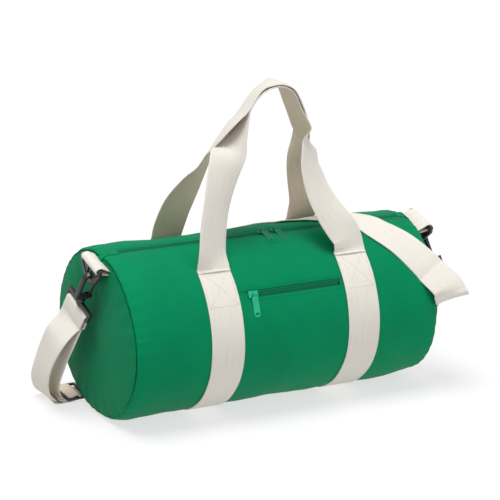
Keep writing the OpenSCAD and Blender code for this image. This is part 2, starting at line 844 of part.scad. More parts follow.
module strap_inner() {
    color([0.8, 0.77, 0.7]) ribbon(concat([at_clip(layer_u, tail_w)], smooth(concat(
        [at_clip(layer_u, tail_w - lead), at_clip(layer_u + seat, tail_w - tail_run)],
        [for (p = inner_loop_shares) from_unit(p, -half_l)],
        [
            for (i = [0 : len(inner_floor_shares) - 1])
                on_floor(glide_l * inner_floor_shares[i], inner_floor_z[i])
        ]
    ))));
}

module tri_glide() {
    w = webbing_w + 2 * glide_side;
    slot = (glide_l - 3 * glide_rail) / 2;
    color([0.13, 0.12, 0.13]) translate([glide_x, glide_y, glide_z]) difference() {
        translate([-glide_l / 2, -w / 2, 0]) cube([glide_l, w, glide_t]);
        for (side = [-1, 1])
            translate([
                side * (glide_rail + slot) / 2 - slot / 2, -webbing_w / 2 - run_gap, -over
            ]) cube([slot, webbing_w + 2 * run_gap, glide_t + 2 * over]);
    }
}

// Parts shown

barrel_panel();
end_panel(-1);  // end_panel_left
end_panel(1);  // end_panel_right
seam_binding(-1);  // seam_binding_left
seam_binding(1);  // seam_binding_right
pocket_panel();
pocket_lining();
main_zip_tape(-1);  // main_zip_tape_front
main_zip_tape(1);  // main_zip_tape_back
main_zip_teeth(-1);  // main_zip_teeth_front
main_zip_teeth(1);  // main_zip_teeth_back
main_zip_ends();
main_slider(0);  // main_slider_left
main_slider(1);  // main_slider_right
main_pull(0);  // main_pull_left
main_pull(1);  // main_pull_right
pocket_zip_tape(1);  // pocket_zip_tape_upper
pocket_zip_tape(-1);  // pocket_zip_tape_lower
pocket_zip_teeth(1);  // pocket_zip_teeth_upper
pocket_zip_teeth(-1);  // pocket_zip_teeth_lower
pocket_zip_ends();
pocket_slider();
pocket_pull();
band(-1);  // band_left
band(1);  // band_right
handle_front();
handle_back();
ring_tab();  // ring_tab_left
mirror([1, 0, 0]) ring_tab();  // ring_tab_right
ring();  // ring_left
mirror([1, 0, 0]) ring();  // ring_right
hook();  // hook_left
to_right() hook();  // hook_right
gate();  // gate_left
to_right() gate();  // gate_right
swivel();  // swivel_left
to_right() swivel();  // swivel_right
strap_fold();  // strap_fold_left
to_right() strap_fold();  // strap_fold_right
strap_long();
strap_outer();
strap_inner();
tri_glide();
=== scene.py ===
"""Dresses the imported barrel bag: soft cloth, webbing, zips and moulded clips, on a pale floor."""

import json
import logging
import math
from collections.abc import Iterable, Sequence
from dataclasses import dataclass
from enum import Enum

import bmesh
import bpy
from mathutils import Matrix, Vector, noise

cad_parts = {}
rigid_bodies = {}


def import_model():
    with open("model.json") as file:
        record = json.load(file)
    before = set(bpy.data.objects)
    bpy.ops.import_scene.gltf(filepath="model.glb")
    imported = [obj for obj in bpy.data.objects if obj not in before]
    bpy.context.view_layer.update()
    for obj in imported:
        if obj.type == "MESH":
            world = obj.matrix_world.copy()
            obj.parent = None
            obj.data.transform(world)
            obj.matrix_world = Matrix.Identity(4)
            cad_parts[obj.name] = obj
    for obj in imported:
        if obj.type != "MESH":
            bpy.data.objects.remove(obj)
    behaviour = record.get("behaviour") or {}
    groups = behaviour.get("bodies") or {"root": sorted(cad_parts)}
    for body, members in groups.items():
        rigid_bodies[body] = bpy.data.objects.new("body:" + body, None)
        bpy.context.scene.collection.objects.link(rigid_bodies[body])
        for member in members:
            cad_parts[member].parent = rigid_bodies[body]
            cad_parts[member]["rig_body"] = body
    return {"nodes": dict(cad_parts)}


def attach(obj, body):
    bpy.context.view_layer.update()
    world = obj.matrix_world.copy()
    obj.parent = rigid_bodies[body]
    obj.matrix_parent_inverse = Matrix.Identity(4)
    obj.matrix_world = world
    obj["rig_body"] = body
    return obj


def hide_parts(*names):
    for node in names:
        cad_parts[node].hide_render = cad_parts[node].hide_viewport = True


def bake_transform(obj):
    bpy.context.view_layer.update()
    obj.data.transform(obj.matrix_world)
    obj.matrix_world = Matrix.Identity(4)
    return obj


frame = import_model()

log = logging.getLogger("bag")

MM = 0.001
ROOT = "bag"
UV_NAME = "cloth_mm"

Frame = tuple[Vector, Vector, Vector, float]


class Side(Enum):
    """End of the bag that a piece belongs to."""

    LEFT = -1
    RIGHT = 1

    @property
    def word(self) -> str:
        """The end's word in the names of pieces."""
        return self.name.lower()


class Face(Enum):
    """Long side of the bag that a piece belongs to."""

    FRONT = -1
    BACK = 1


# Numbers along a curve

def smooth_step(low: float, high: float, value: float) -> float:
    """Rises smoothly from 0 at low to 1 at high.

    Args:
        low: value where the rise starts.
        high: value where the rise ends.
        value: value to place on the rise.

    Returns:
        A share from 0 to 1.
    """
    share = max(0.0, min(1.0, (value - low) / (high - low)))
    return share * share * (3 - 2 * share)


def bump_at(value: float, centre: float, spread: float) -> float:
    """Bell curve of height 1.

    Args:
        value: where it is read.
        centre: where it peaks.
        spread: distance from the peak at which it falls to about a third.

    Returns:
        A share from 0 to 1.
    """
    return math.exp(-(((value - centre) / spread) ** 2))


def turn_gap(angle: float, other: float) -> float:
    """Difference of two angles in degrees, from -180 to 180."""
    return (angle - other + 180) % 360 - 180


def round_bump(angle: float, centre: float, spread: float) -> float:
    """Bell curve of height 1 round the barrel, in degrees."""
    return bump_at(turn_gap(angle, centre), 0, spread)


def facing(angle: float, centre: float) -> float:
    """Share from 0 to 1 that is 1 at the centre and 0 on the other side of the barrel."""
    return 0.5 + 0.5 * math.cos(math.radians(turn_gap(angle, centre)))


# Finishes

WHITE = (1.0, 1.0, 1.0, 1.0)


def shaded(colour: Sequence[float], share: float) -> tuple[float, ...]:
    """The colour at a share of its brightness."""
    return tuple(channel * share for channel in colour)


class Nodes:
    """Small builder for a tree of shader nodes."""

    mix_inputs = (0, 6, 7)
    mix_result = 2

    def __init__(self, tree: bpy.types.NodeTree) -> None:
        """Works on the tree of a material or of the world."""
        self.tree = tree

    def feed(self, socket: bpy.types.NodeSocket, value: object) -> None:
        """Links a socket to an input, or sets the input's constant.

        Args:
            socket: the input.
            value: the socket or the constant that it gets.
        """
        if isinstance(value, bpy.types.NodeSocket):
            self.tree.links.new(value, socket)
        else:
            socket.default_value = value

    def node(self, kind: str, settings: dict | None = None, **inputs: object) -> bpy.types.Node:
        """Adds a node.

        Args:
            kind: type of the node.
            settings: its own properties.
            inputs: values or sockets for its inputs, with _ for a space.

        Returns:
            The new node.
        """
        made = self.tree.nodes.new(kind)
        for key, value in (settings or {}).items():
            setattr(made, key, value)
        for key, value in inputs.items():
            self.feed(made.inputs[key.replace("_", " ")], value)
        return made

    def math(self, operation: str, first: object, second: object = 0.0) -> bpy.types.NodeSocket:
        """Adds a Math node and returns its value.

        Args:
            operation: name of the operation.
            first: first number or socket.
            second: second number or socket.

        Returns:
            The socket that holds the result.
        """
        made = self.node("ShaderNodeMath", {"operation": operation})
        self.feed(made.inputs[0], first)
        self.feed(made.inputs[1], second)
        return made.outputs[0]

    def mix(self, share: object, first: object, second: object) -> bpy.types.NodeSocket:
        """Mixes two colours.

        Args:
            share: number or socket, 0 for the first colour.
            first: linear colour or socket.
            second: linear colour or socket.

        Returns:
            The colour socket.
        """
        made = self.node("ShaderNodeMix", {"data_type": "RGBA"})
        for index, value in zip(self.mix_inputs, (share, first, second)):
            self.feed(made.inputs[index], (*value, 1.0) if isinstance(value, tuple) else value)
        return made.outputs[self.mix_result]

    def noise(self, scale: float, detail: float, vector: object) -> bpy.types.NodeSocket:
        """Adds a noise pattern and returns its value.

        Args:
            scale: cells a metre, or a millimetre on a cloth's own map.
            detail: octaves.
            vector: coordinates socket.

        Returns:
            The value socket.
        """
        return self.node("ShaderNodeTexNoise", Scale=scale, Detail=detail, Vector=vector).outputs[0]

    def ramp(self, value: object, low: float, high: float) -> bpy.types.NodeSocket:
        """Stretches a value so that low gives 0 and high gives 1.

        Args:
            value: value socket.
            low: value that gives 0.
            high: value that gives 1.

        Returns:
            The value socket.
        """
        smooth = {"interpolation_type": "SMOOTHSTEP"}
        made = self.node("ShaderNodeMapRange", smooth, Value=value, From_Min=low, From_Max=high)
        return made.outputs[0]

    def cloth_map(self) -> bpy.types.NodeSocket:
        """Coordinates on a cloth's or a strip's own map, in millimetres."""
        return self.node("ShaderNodeUVMap", {"uv_map": UV_NAME}).outputs[0]

    def own_place(self) -> bpy.types.NodeSocket:
        """Object coordinates, in metres."""
        return self.node("ShaderNodeTexCoord").outputs["Object"]

    def stretched(self, at: bpy.types.NodeSocket, scale: Sequence[float]) -> bpy.types.NodeSocket:
        """The coordinates times a scale."""
        return self.node("ShaderNodeMapping", Vector=at, Scale=scale).outputs[0]

    def threads(self, at: bpy.types.NodeSocket, turns: Sequence[float]) -> bpy.types.NodeSocket:
        """Round thread profile that repeats along one direction.

        Args:
            at: coordinates, in millimetres.
            turns: radians a millimetre along each coordinate.

        Returns:
            The height, from 0 between two threads to 1 on a thread.
        """
        split = self.node("ShaderNodeVectorMath", {"operation": "DOT_PRODUCT"})
        self.feed(split.inputs[0], at)
        self.feed(split.inputs[1], turns)
        return self.math("ABSOLUTE", self.math("SINE", split.outputs["Value"]))


class Shader(Nodes):
    """Nodes of one material, round its Principled shader."""

    def __init__(self, name: str, roughness: float, base: Sequence[float]) -> None:
        """Starts a material with its Principled shader.

        Args:
            name: name of the material.
            roughness: roughness of its surface.
            base: linear base colour.
        """
        self.material = bpy.data.materials.new(name)
        self.material.use_nodes = True
        self.material.diffuse_color = (*base, 1.0)
        super().__init__(self.material.node_tree)
        self.surface = self.tree.nodes["Principled BSDF"]
        self.settle(Roughness=roughness, Base_Color=(*base, 1.0))

    def bump(self, height: object, depth: float, strength: float) -> None:
        """Sets the surface's normal from a height.

        Args:
            height: value socket.
            depth: real height of the pattern, in metres.
            strength: share of the bump that is used.
        """
        made = self.node("ShaderNodeBump", Height=height, Strength=strength, Distance=depth)
        self.feed(self.surface.inputs["Normal"], made.outputs[0])

    def colour(self, value: bpy.types.NodeSocket) -> None:
        """Links a colour to the surface."""
        self.feed(self.surface.inputs["Base Color"], value)

    def settle(self, **values: object) -> None:
        """Sets constants on the surface's own sockets, with _ for a space."""
        for name, value in values.items():
            self.surface.inputs[name.replace("_", " ")].default_value = value


class Map(Enum):
    """Coordinates that a woven pattern follows."""

    CLOTH = "uv"
    OBJECT = "object"


@dataclass(frozen=True)
class WovenCloth:
    """Plain woven bag cloth with a soft sheen."""

    name: str
    base: tuple[float, float, float]
    shade: float = 0.8
    thread_mm: float = 0.62
    roughness: float = 0.62
    sheen: float = 0.03
    follows: Map = Map.CLOTH
    relief: float = 0.16 * MM
    specular: float = 0.04

    def make(self) -> bpy.types.Material:
        """Builds the material: two crossing thread directions, slubs and cloudy dye.

        Returns:
            The material.
        """
        made = Shader(self.name, self.roughness, self.base)
        mapped = self.follows is Map.CLOTH
        at = made.cloth_map() if mapped else made.stretched(made.own_place(), (1 / MM,) * 3)
        turns = math.pi / self.thread_mm
        warp = made.threads(at, (turns, 0.0, 0.0))
        weft = made.threads(at, (0.0, turns, 0.0 if mapped else turns))
        weave = made.math("MAXIMUM", warp, weft)
        slub = made.noise(0.55, 3.0, made.stretched(at, (0.12, 1.4, 1.0)))
        cloud = made.noise(7.0, 3.0, made.own_place())
        dark = shaded(self.base, self.shade)
        dyed = made.mix(made.ramp(cloud, 0.3, 0.7), dark, self.base)
        threads = made.mix(made.ramp(weave, 0.1, 0.9), shaded(dark, 0.86), self.base)
        made.colour(made.mix(0.35, dyed, threads))
        made.bump(made.math("ADD", weave, made.math("MULTIPLY", slub, 0.8)), self.relief, 0.55)
        made.settle(Sheen_Weight=self.sheen, Sheen_Roughness=0.45, Specular_IOR_Level=self.specular)
        return made.material


@dataclass(frozen=True)
class RibbedWebbing:
    """Natural cotton webbing: fine lengthwise ribs, a twill and a few dark flecks."""

    name: str = "natural_webbing"
    base: tuple[float, float, float] = (0.65, 0.62, 0.565)
    warm: tuple[float, float, float] = (0.9, 0.885, 0.86)
    fleck: tuple[float, float, float] = (0.36, 0.3, 0.24)
    rib_mm: float = 1.55
    pick_mm: float = 1.05
    roughness: float = 0.85
    relief: float = 0.25 * MM

    def make(self) -> bpy.types.Material:
        """Builds the material on the strip's own map, in millimetres along and across.

        Returns:
            The material.
        """
        made = Shader(self.name, self.roughness, self.base)
        at = made.cloth_map()
        pick_turns = math.pi / self.pick_mm
        rib = made.threads(at, (0.0, math.pi / self.rib_mm, 0.0))
        pick = made.threads(at, (pick_turns, pick_turns / 3, 0.0))
        weave = made.math("ADD", made.math("MULTIPLY", rib, 0.6), made.math("MULTIPLY", pick, 0.45))
        streak = made.noise(0.5, 3.0, made.stretched(at, (0.04, 1.6, 1.0)))
        cloud = made.math("MULTIPLY", made.ramp(made.noise(0.05, 2.0, at), 0.35, 0.65), 0.3)
        flecks = made.math("MULTIPLY", made.ramp(made.noise(0.7, 2.0, at), 0.74, 0.8), 0.35)
        warmed = tuple(channel * share for channel, share in zip(self.base, self.warm))
        body = made.mix(made.ramp(streak, 0.3, 0.7), warmed, self.base)
        body = made.mix(cloud, body, shaded(self.base, 0.93))
        body = made.mix(made.ramp(weave, 0.15, 0.6), shaded(self.base, 0.8), body)
        made.colour(made.mix(flecks, body, self.fleck))
        made.bump(weave, self.relief, 0.6)
        made.settle(Sheen_Weight=0.12, Specular_IOR_Level=0.25)
        return made.material


@dataclass(frozen=True)
class Moulding:
    """Moulded or enamelled part with a fine grain and edges that are worn a little paler."""

    name: str
    base: tuple[float, float, float]
    worn: tuple[float, float, float]
    roughness: float = 0.42
    grain_mm: float = 0.5
    coat: float = 0.0
    specular: float = 0.5
    relief: float = 0.05 * MM

    def make(self) -> bpy.types.Material:
        """Builds the material on Object coordinates.

        Returns:
            The material.
        """
        made = Shader(self.name, self.roughness, self.base)
        at = made.own_place()
        grain = made.noise(1 / (self.grain_mm * MM), 2.0, at)
        patch = made.noise(90.0, 3.0, at)
        edge = made.node("ShaderNodeNewGeometry").outputs["Pointiness"]
        rim = made.math("MULTIPLY", made.ramp(edge, 0.52, 0.62), 0.6)
        body = made.mix(made.ramp(patch, 0.35, 0.7), shaded(self.base, 0.82), self.base)
        made.colour(made.mix(rim, body, self.worn))
        made.bump(made.math("ADD", grain, made.math("MULTIPLY", patch, 0.5)), self.relief, 0.4)
        made.settle(Coat_Weight=self.coat, Coat_Roughness=0.25, Specular_IOR_Level=self.specular)
        return made.material


@dataclass(frozen=True)
class Thread:
    """Sewing thread with a twist and a soft shine."""

    name: str
    base: tuple[float, float, float]
    roughness: float = 0.5
    sheen: float = 0.2
    specular: float = 0.5
    relief: float = 0.1 * MM

    def make(self) -> bpy.types.Material:
        """Builds the material on Object coordinates.

        Returns:
            The material.
        """
        made = Shader(self.name, self.roughness, self.base)
        twist = made.noise(2600.0, 1.0, made.own_place())
        made.colour(made.mix(made.ramp(twist, 0.3, 0.7), shaded(self.base, 0.7), self.base))
        made.bump(twist, self.relief, 0.5)
        made.settle(Sheen_Weight=self.sheen, Specular_IOR_Level=self.specular)
        return made.material


@dataclass(frozen=True)
class PaperFloor:
    """Seamless pale floor, which the camera and mirrors see as white away from the shadow."""

    name: str = "paper_floor"
    base: tuple[float, float, float] = (0.22, 0.22, 0.22)
    roughness: float = 0.9
    glow: float = 0.66

    def make(self) -> bpy.types.Material:
        """Builds the floor's material.

        Returns:
            The material.
        """
        made = Shader(self.name, self.roughness, self.base)
        mottle = made.noise(3.0, 2.0, made.own_place())
        made.colour(made.mix(mottle, self.base, shaded(self.base, 0.99)))
        made.settle(Emission_Color=WHITE, Emission_Strength=self.glow)
        return made.material


@dataclass
class Finishes:
    """Every material of the bag, by what it covers."""

    body: bpy.types.Material
    # Painted shade: darker copy of the body cloth for the end panels
    ends: bpy.types.Material
    tape: bpy.types.Material
    lining: bpy.types.Material
    webbing: bpy.types.Material
    # Painted shade: darker, warmer copy of the webbing that the strips' undersides get in place of their
    # shade
    reverse: bpy.types.Material
    clip: bpy.types.Material
    teeth: bpy.types.Material
    slider: bpy.types.Material
    pull: bpy.types.Material
    bright_pull: bpy.types.Material
    pale_thread: bpy.types.Material
    green_thread: bpy.types.Material
    # Painted shadow: dark line down in the end seams
    seam: bpy.types.Material

    @classmethod
    def make(cls) -> "Finishes":
        """Builds them all.

        Returns:
            The bag's materials.
        """
        inner = (0.7, 0.5, 0.8, 0.1, Map.OBJECT)
        return cls(
            body=WovenCloth("green_body_cloth", (0.0, 0.198, 0.08)).make(),
            # Painted shade: the end panels get a darker copy of the body cloth, as they look darker turned
            # from the light
            ends=WovenCloth("green_end_cloth", (0.0, 0.176, 0.07)).make(),
            tape=WovenCloth("green_zip_tape", (0.003, 0.17, 0.076), *inner).make(),
            lining=WovenCloth("dark_lining", (0.004, 0.1, 0.05), *inner).make(),
            webbing=RibbedWebbing().make(),
            # Painted shade: the webbing's colour made darker and warmer, put on every strip's underside
            reverse=RibbedWebbing("webbing_reverse", (0.64, 0.55, 0.44)).make(),
            clip=Moulding("black_clip_plastic", (0.012, 0.011, 0.012), (0.05, 0.048, 0.05), 0.38).make(),
            teeth=Moulding(
                "green_zip_teeth", (0.0, 0.1, 0.044), (0.001, 0.15, 0.07), 0.6, 0.4, 0.0, 0.12
            ).make(),
            slider=Moulding(
                "green_slider", (0.0, 0.13, 0.06), (0.003, 0.22, 0.11), 0.35, 0.4, 0.1, 0.3
            ).make(),
            pull=Moulding(
                "green_pull", (0.0, 0.15, 0.07), (0.003, 0.25, 0.13), 0.35, 0.4, 0.1, 0.3
            ).make(),
            bright_pull=Moulding(
                "bright_green_pull", (0.001, 0.36, 0.19), (0.01, 0.48, 0.29), 0.36, 0.4, 0.1, 0.3
            ).make(),
            pale_thread=Thread("pale_thread", (0.86, 0.84, 0.79)).make(),
            green_thread=Thread("green_thread", (0.0, 0.09, 0.036), 0.7, 0.0, 0.1).make(),
            # Painted shadow: the seam line's near-black green stands for the shade down in the end seams
            seam=Thread("seam_shadow_thread", (0.0, 0.045, 0.018), 0.8, 0.0, 0.05).make(),
        )


# Making pieces

def add_object(name: str, data: bpy.types.ID) -> bpy.types.Object:
    """Puts new data into the scene.

    Args:
        name: name of the object.
        data: its mesh, light or camera.

    Returns:
        The new object.
    """
    made = bpy.data.objects.new(name, data)
    bpy.context.scene.collection.objects.link(made)
    return made


def finish_piece(
    mesh: bmesh.types.BMesh,
    name: str,
    body: str,
    material: bpy.types.Material,
    stands_for: Iterable[str] = (),
) -> bpy.types.Object:
    """Turns a finished bmesh into a piece that rides on a body.

    Args:
        mesh: the piece's shape, in the row frame.
        name: name of the piece.
        body: body that it rides on.
        material: its finish.
        stands_for: CAD nodes that it stands for.

    Returns:
        The new object.
    """
    data = bpy.data.meshes.new(name)
    mesh.to_mesh(data)
    mesh.free()
    data.shade_smooth()
    data.materials.append(material)
    made = add_object(name, data)
    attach(made, body)
    if stands_for:
        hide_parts(*stands_for)
    log.info("%s: %d faces on %s", name, len(data.polygons), body)
    return made


def bend_between(made: bpy.types.Object) -> None:
    """Takes a piece off its body, so that it rides on none, and bakes its place into its mesh.

    Args:
        made: the piece.
    """
    made.parent = None
    del made["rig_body"]
    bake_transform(made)


def round_edges(
    made: bpy.types.Object, width: float, sharp: float = 40.0, **settings: object
) -> None:
    """Rounds the sharp edges of a piece.

    Args:
        made: the piece.
        width: radius of the rounded edges.
        sharp: angle from which an edge is rounded, in degrees.
        settings: the bevel's other properties.
    """
    bevel = made.modifiers.new("bevel", "BEVEL")
    bevel.width = width
    bevel.segments = 2
    bevel.limit_method = "ANGLE"
    bevel.angle_limit = math.radians(sharp)
    for key, value in settings.items():
        setattr(bevel, key, value)


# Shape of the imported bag, with angles in degrees up from the front

MAIN_ZIP = 84.5
POCKET_ZIP = 32.0
POCKET_X = 4.5 * MM


@dataclass(frozen=True)
class Patch:
    """Soft patch of the barrel's cloth: how much there is in its middle, its place and reach."""

    amount: float
    x: float
    long: float
    angle: float
    wide: float

    def at(self, x: float, angle: float) -> float:
        """How much of it there is at a place on the barrel."""
        return self.amount * bump_at(x, self.x, self.long) * round_bump(angle, self.angle, self.wide)


DENTS = (
    Patch(5.5 * MM, 76 * MM, 13 * MM, 61, 8),
    Patch(2.2 * MM, 62 * MM, 22 * MM, 68, 6),
    Patch(2.0 * MM, -150 * MM, 18 * MM, 62, 16),
)
STRAP_CALM = Patch(0.8, 190 * MM, 75 * MM, 55, 42)


@dataclass(frozen=True)
class Skin:
    """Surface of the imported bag, by the distance along it and the angle up from the front."""

    half_l: float = 243 * MM
    radius: float = 122 * MM
    axis_z: float = 119 * MM
    bulge: float = 9 * MM
    clip_press: float = 6 * MM
    clip_place: tuple[float, float, float] = (15 * MM, 170 * MM, 42 * MM)
    band_x: float = 108 * MM
    webbing_w: float = 50 * MM
    webbing_t: float = 2 * MM
    front_swell: float = 3.5 * MM
    front_place: tuple[float, float] = (-16, 30)
    back_swell: float = 6 * MM
    back_place: tuple[float, float] = (190, 42)
    right_draw: float = 10 * MM
    right_from: float = 90 * MM
    right_side: float = -35
    left_lean: float = 10 * MM
    left_from: float = 110 * MM
    left_side: float = 170
    seam_dip: float = 3.6 * MM
    seam_width: float = 2.2 * MM
    end_fall: float = 3.0 * MM
    end_reach: float = 20 * MM
    gathers: int = 43
    pucker: float = 1.0 * MM
    pucker_reach: float = 16 * MM
    ripples: int = 23
    ripple: float = 0.9 * MM
    panel_sag: float = 1.8 * MM
    panel_drop: float = 3 * MM
    wrinkle: float = 3.2 * MM
    drape: float = 2.2 * MM
    crumple: float = 1.0 * MM
    cinch: float = 1.2 * MM
    cinch_reach: float = 40 * MM
    main_hem: float = 1.5 * MM
    main_hem_ends: tuple[float, float] = (238 * MM, 220 * MM)
    pocket_hem: float = 1.0 * MM
    pocket_hem_ends: tuple[float, float] = (92 * MM, 80 * MM)
    pocket_calm_ends: tuple[float, float] = (105 * MM, 85 * MM)
    clearance: float = 0.3 * MM
    band_gap: float = 0.2 * MM
    band_reach: float = 30 * MM
    base_round: float = 5 * MM

    def radius_at(self, x: float, angle: float) -> float:
        """Distance from the axis to the cloth.

        Args:
            x: distance along the bag.
            angle: degrees up from the front.

        Returns:
            The radius there, in metres.
        """
        swell = self.front_swell * round_bump(angle, *self.front_place)
        swell += self.back_swell * round_bump(angle, *self.back_place)
        body = smooth_step(0, 0.6, 1 - abs(x) / self.half_l) * 0.5 + 0.5
        from_seam = max(0.0, self.half_l - abs(x))
        fall = self.end_fall * math.exp(-from_seam / self.end_reach)
        return (
            self.radius + swell * body - fall
            - self.seam_dip * math.exp(-from_seam / self.seam_width)
            + self.puckers(x, angle, from_seam) + self.folds(x, angle) - self.hems(x, angle)
        )

    def hems(self, x: float, angle: float) -> float:
        """How far the hemmed edges beside both zips are pressed down.

        Args:
            x: distance along the bag.
            angle: degrees up from the front.

        Returns:
            The depth there.
        """
        main = self.main_hem * round_bump(angle, MAIN_ZIP, 5)
        pocket = self.pocket_hem * round_bump(angle, POCKET_ZIP, 4.5)
        return (
            main * smooth_step(*self.main_hem_ends, abs(x))
            + pocket * smooth_step(*self.pocket_hem_ends, abs(x - POCKET_X))
        )

    def puckers(self, x: float, angle: float, from_seam: float) -> float:
        """Short radial folds that the end seam gathers.

        Args:
            x: distance along the bag.
            angle: degrees up from the front.
            from_seam: distance from the end seam.

        Returns:
            How far they lift the cloth.
        """
        phase = 2.5 * noise.noise(Vector((angle / 17, x * 2, 4.0)))
        share = 0.35 + 0.65 * abs(noise.noise(Vector((angle / 40, 1.7, x * 3))))
        wave = math.sin(math.radians(angle) * self.gathers + phase)
        return self.pucker * share * wave * math.exp(-from_seam / self.pucker_reach)

    def folds(self, x: float, angle: float) -> float:
        """Soft wrinkles of the whole body, and the dents beside the bands and the strap.

        Args:
            x: distance along the bag.
            angle: degrees up from the front.

        Returns:
            How far they lift the cloth.
        """
        turn = math.radians(angle)
        cinched = sum(bump_at(x, side.value * self.band_x, self.cinch_reach) for side in Side)
        beside_pocket = smooth_step(*self.pocket_calm_ends, abs(x))
        calm = 1 - 0.85 * round_bump(angle, POCKET_ZIP, 9) * beside_pocket
        calm *= 1 - 0.9 * round_bump(angle, MAIN_ZIP, 7)
        calm *= 1 - 0.85 * cinched
        calm *= 1 - STRAP_CALM.at(x, angle)
        around = Vector((x * 5.5, math.cos(turn) * 1.1, math.sin(turn) * 1.1))
        soft = self.wrinkle * noise.noise(around * 1.3 + Vector((3.1, 0.4, 7.7)))
        soft += self.drape * noise.noise(Vector((x * 26 + 2 * math.sin(turn), turn * 0.7, 2.2)))
        crease = noise.noise(Vector((x * 48 + 3 * math.cos(turn), turn * 3.2, 9.1)))
        soft += self.crumple * crease * (1 - round_bump(angle, MAIN_ZIP, 9))
        hollow = sum(dent.at(x, angle) for dent in DENTS) + self.cinch * cinched
        return soft * calm - hollow * (1 - 0.9 * round_bump(angle, MAIN_ZIP, 5))

    def along(self, x: float, angle: float) -> float:
        """Distance along the bag once its right end has drawn in and its left end leans.

        Args:
            x: distance along the flat sheet.
            angle: degrees up from the front.

        Returns:
            The distance along the bag.
        """
        draw = self.right_draw * facing(angle, self.right_side)
        lean = self.left_lean * facing(angle, self.left_side)
        return (
            x - draw * smooth_step(self.right_from, self.half_l, x)
            - lean * smooth_step(-self.left_from, -self.half_l, x)
        )

    def floor_at(self, x: float) -> float:
        """Height of the cloth's underside, which rests on the bands' webbing or the floor."""
        banded = max(bump_at(x, side.value * self.band_x, self.band_reach) for side in Side)
        return self.clearance + (self.webbing_t + self.band_gap) * smooth_step(0.35, 0.6, banded)

    def point(self, x: float, angle: float, lift: float = 0.0) -> Vector:
        """Point of the barrel's cloth.

        Args:
            x: distance along the bag.
            angle: degrees up from the front.
            lift: distance out of the cloth.

        Returns:
            The point, in the row frame.
        """
        turn = math.radians(angle)
        reach = self.radius_at(x, angle) + lift
        height = self.axis_z + reach * math.sin(turn)
        low = self.floor_at(x) - lift
        soft = self.base_round
        if height < low + soft:
            height = low + soft * math.exp((height - low - soft) / soft)
        return Vector((self.along(x, angle), -reach * math.cos(turn), height))

    def end_point(self, side: int, depth: float, angle: float) -> Vector:
        """Point of an end panel.

        Args:
            side: -1 for the left end and 1 for the right.
            depth: distance from the seam towards the middle of the panel.
            angle: degrees up from the front.

        Returns:
            The point, in the row frame.
        """
        turn = math.radians(angle)
        share = max(0.0, 1 - depth / self.radius)
        rim = self.point(side * self.half_l, angle)
        middle = Vector((self.along(side * self.half_l, 20), 0, self.axis_z - self.panel_drop))
        flat = middle + (rim - middle) * share
        rise = self.bulge * (1 - share ** 2.6) ** 0.75
        ripple = self.ripple * math.sin(turn * self.ripples + 1.3) * math.exp(-depth / self.end_reach)
        spot = Vector((share * math.cos(turn) * 1.6, share * math.sin(turn) * 1.6, 5.0 * side))
        sag = self.panel_sag * noise.noise(spot)
        flat.x += side * (rise + ripple * min(1, depth / (5 * MM)) + sag * (1 - share ** 4))
        if side < 0:
            y, z, spread = self.clip_place
            flat.x += self.clip_press * bump_at(math.hypot(flat.y - y, flat.z - z), 0, spread)
        return flat

    def bent(self, along: float, around: float) -> Vector:
        """Bends a point of the flat sheet to the bag.

        Args:
            along: distance along the sheet, past half_l on an end panel.
            around: distance round the sheet from its line along the top.

        Returns:
            The point, in the row frame.
        """
        angle = self.angle_at(around)
        if abs(along) <= self.half_l:
            return self.point(along, angle)
        return self.end_point(1 if along > 0 else -1, abs(along) - self.half_l, angle)

    def around(self, angle: float) -> float:
        """Distance round the sheet at an angle."""
        return math.radians(angle - 90) * self.radius

    def angle_at(self, around: float) -> float:
        """Angle at a distance round the sheet."""
        return 90 + math.degrees(around / self.radius)

    def outward(self, x: float, angle: float) -> Vector:
        """Direction out of the barrel's cloth.

        Args:
            x: distance along the bag.
            angle: degrees up from the front.

        Returns:
            The direction, of length 1.
        """
        step = 2 * MM
        along = self.point(x + step, angle) - self.point(x - step, angle)
        round_it = self.point(x, angle + 1) - self.point(x, angle - 1)
        return along.cross(round_it).normalized()


@dataclass
class Bindings:
    """Tape that binds the raw edges inside both end seams."""

    skin: Skin
    width: float = 8 * MM
    thick: float = 1 * MM
    from_seam: float = 2 * MM
    inset: float = 7.5 * MM
    step: int = 3
    columns: int = 3
    weld: float = 0.01 * MM

    def build(self, finishes: Finishes) -> None:
        """Builds both bindings.

        Args:
            finishes: the bag's materials.
        """
        for side in Side:
            tape = bmesh.new()
            rows = 360 // self.step
            bmesh.ops.create_grid(tape, x_segments=self.columns, y_segments=rows, size=1.0)
            for vert in tape.verts:
                along = self.skin.half_l - self.from_seam - (vert.co.x + 1) / 2 * self.width
                vert.co = self.skin.point(side.value * along, vert.co.y * 180, -self.inset)
            bmesh.ops.remove_doubles(tape, verts=tape.verts, dist=self.weld)
            bmesh.ops.recalc_face_normals(tape, faces=tape.faces)
            bmesh.ops.solidify(tape, geom=tape.faces[:], thickness=self.thick)
            finish_piece(
                tape, f"binding_{side.word}_tape", ROOT, finishes.lining,
                (f"seam_binding_{side.word}",),
            )


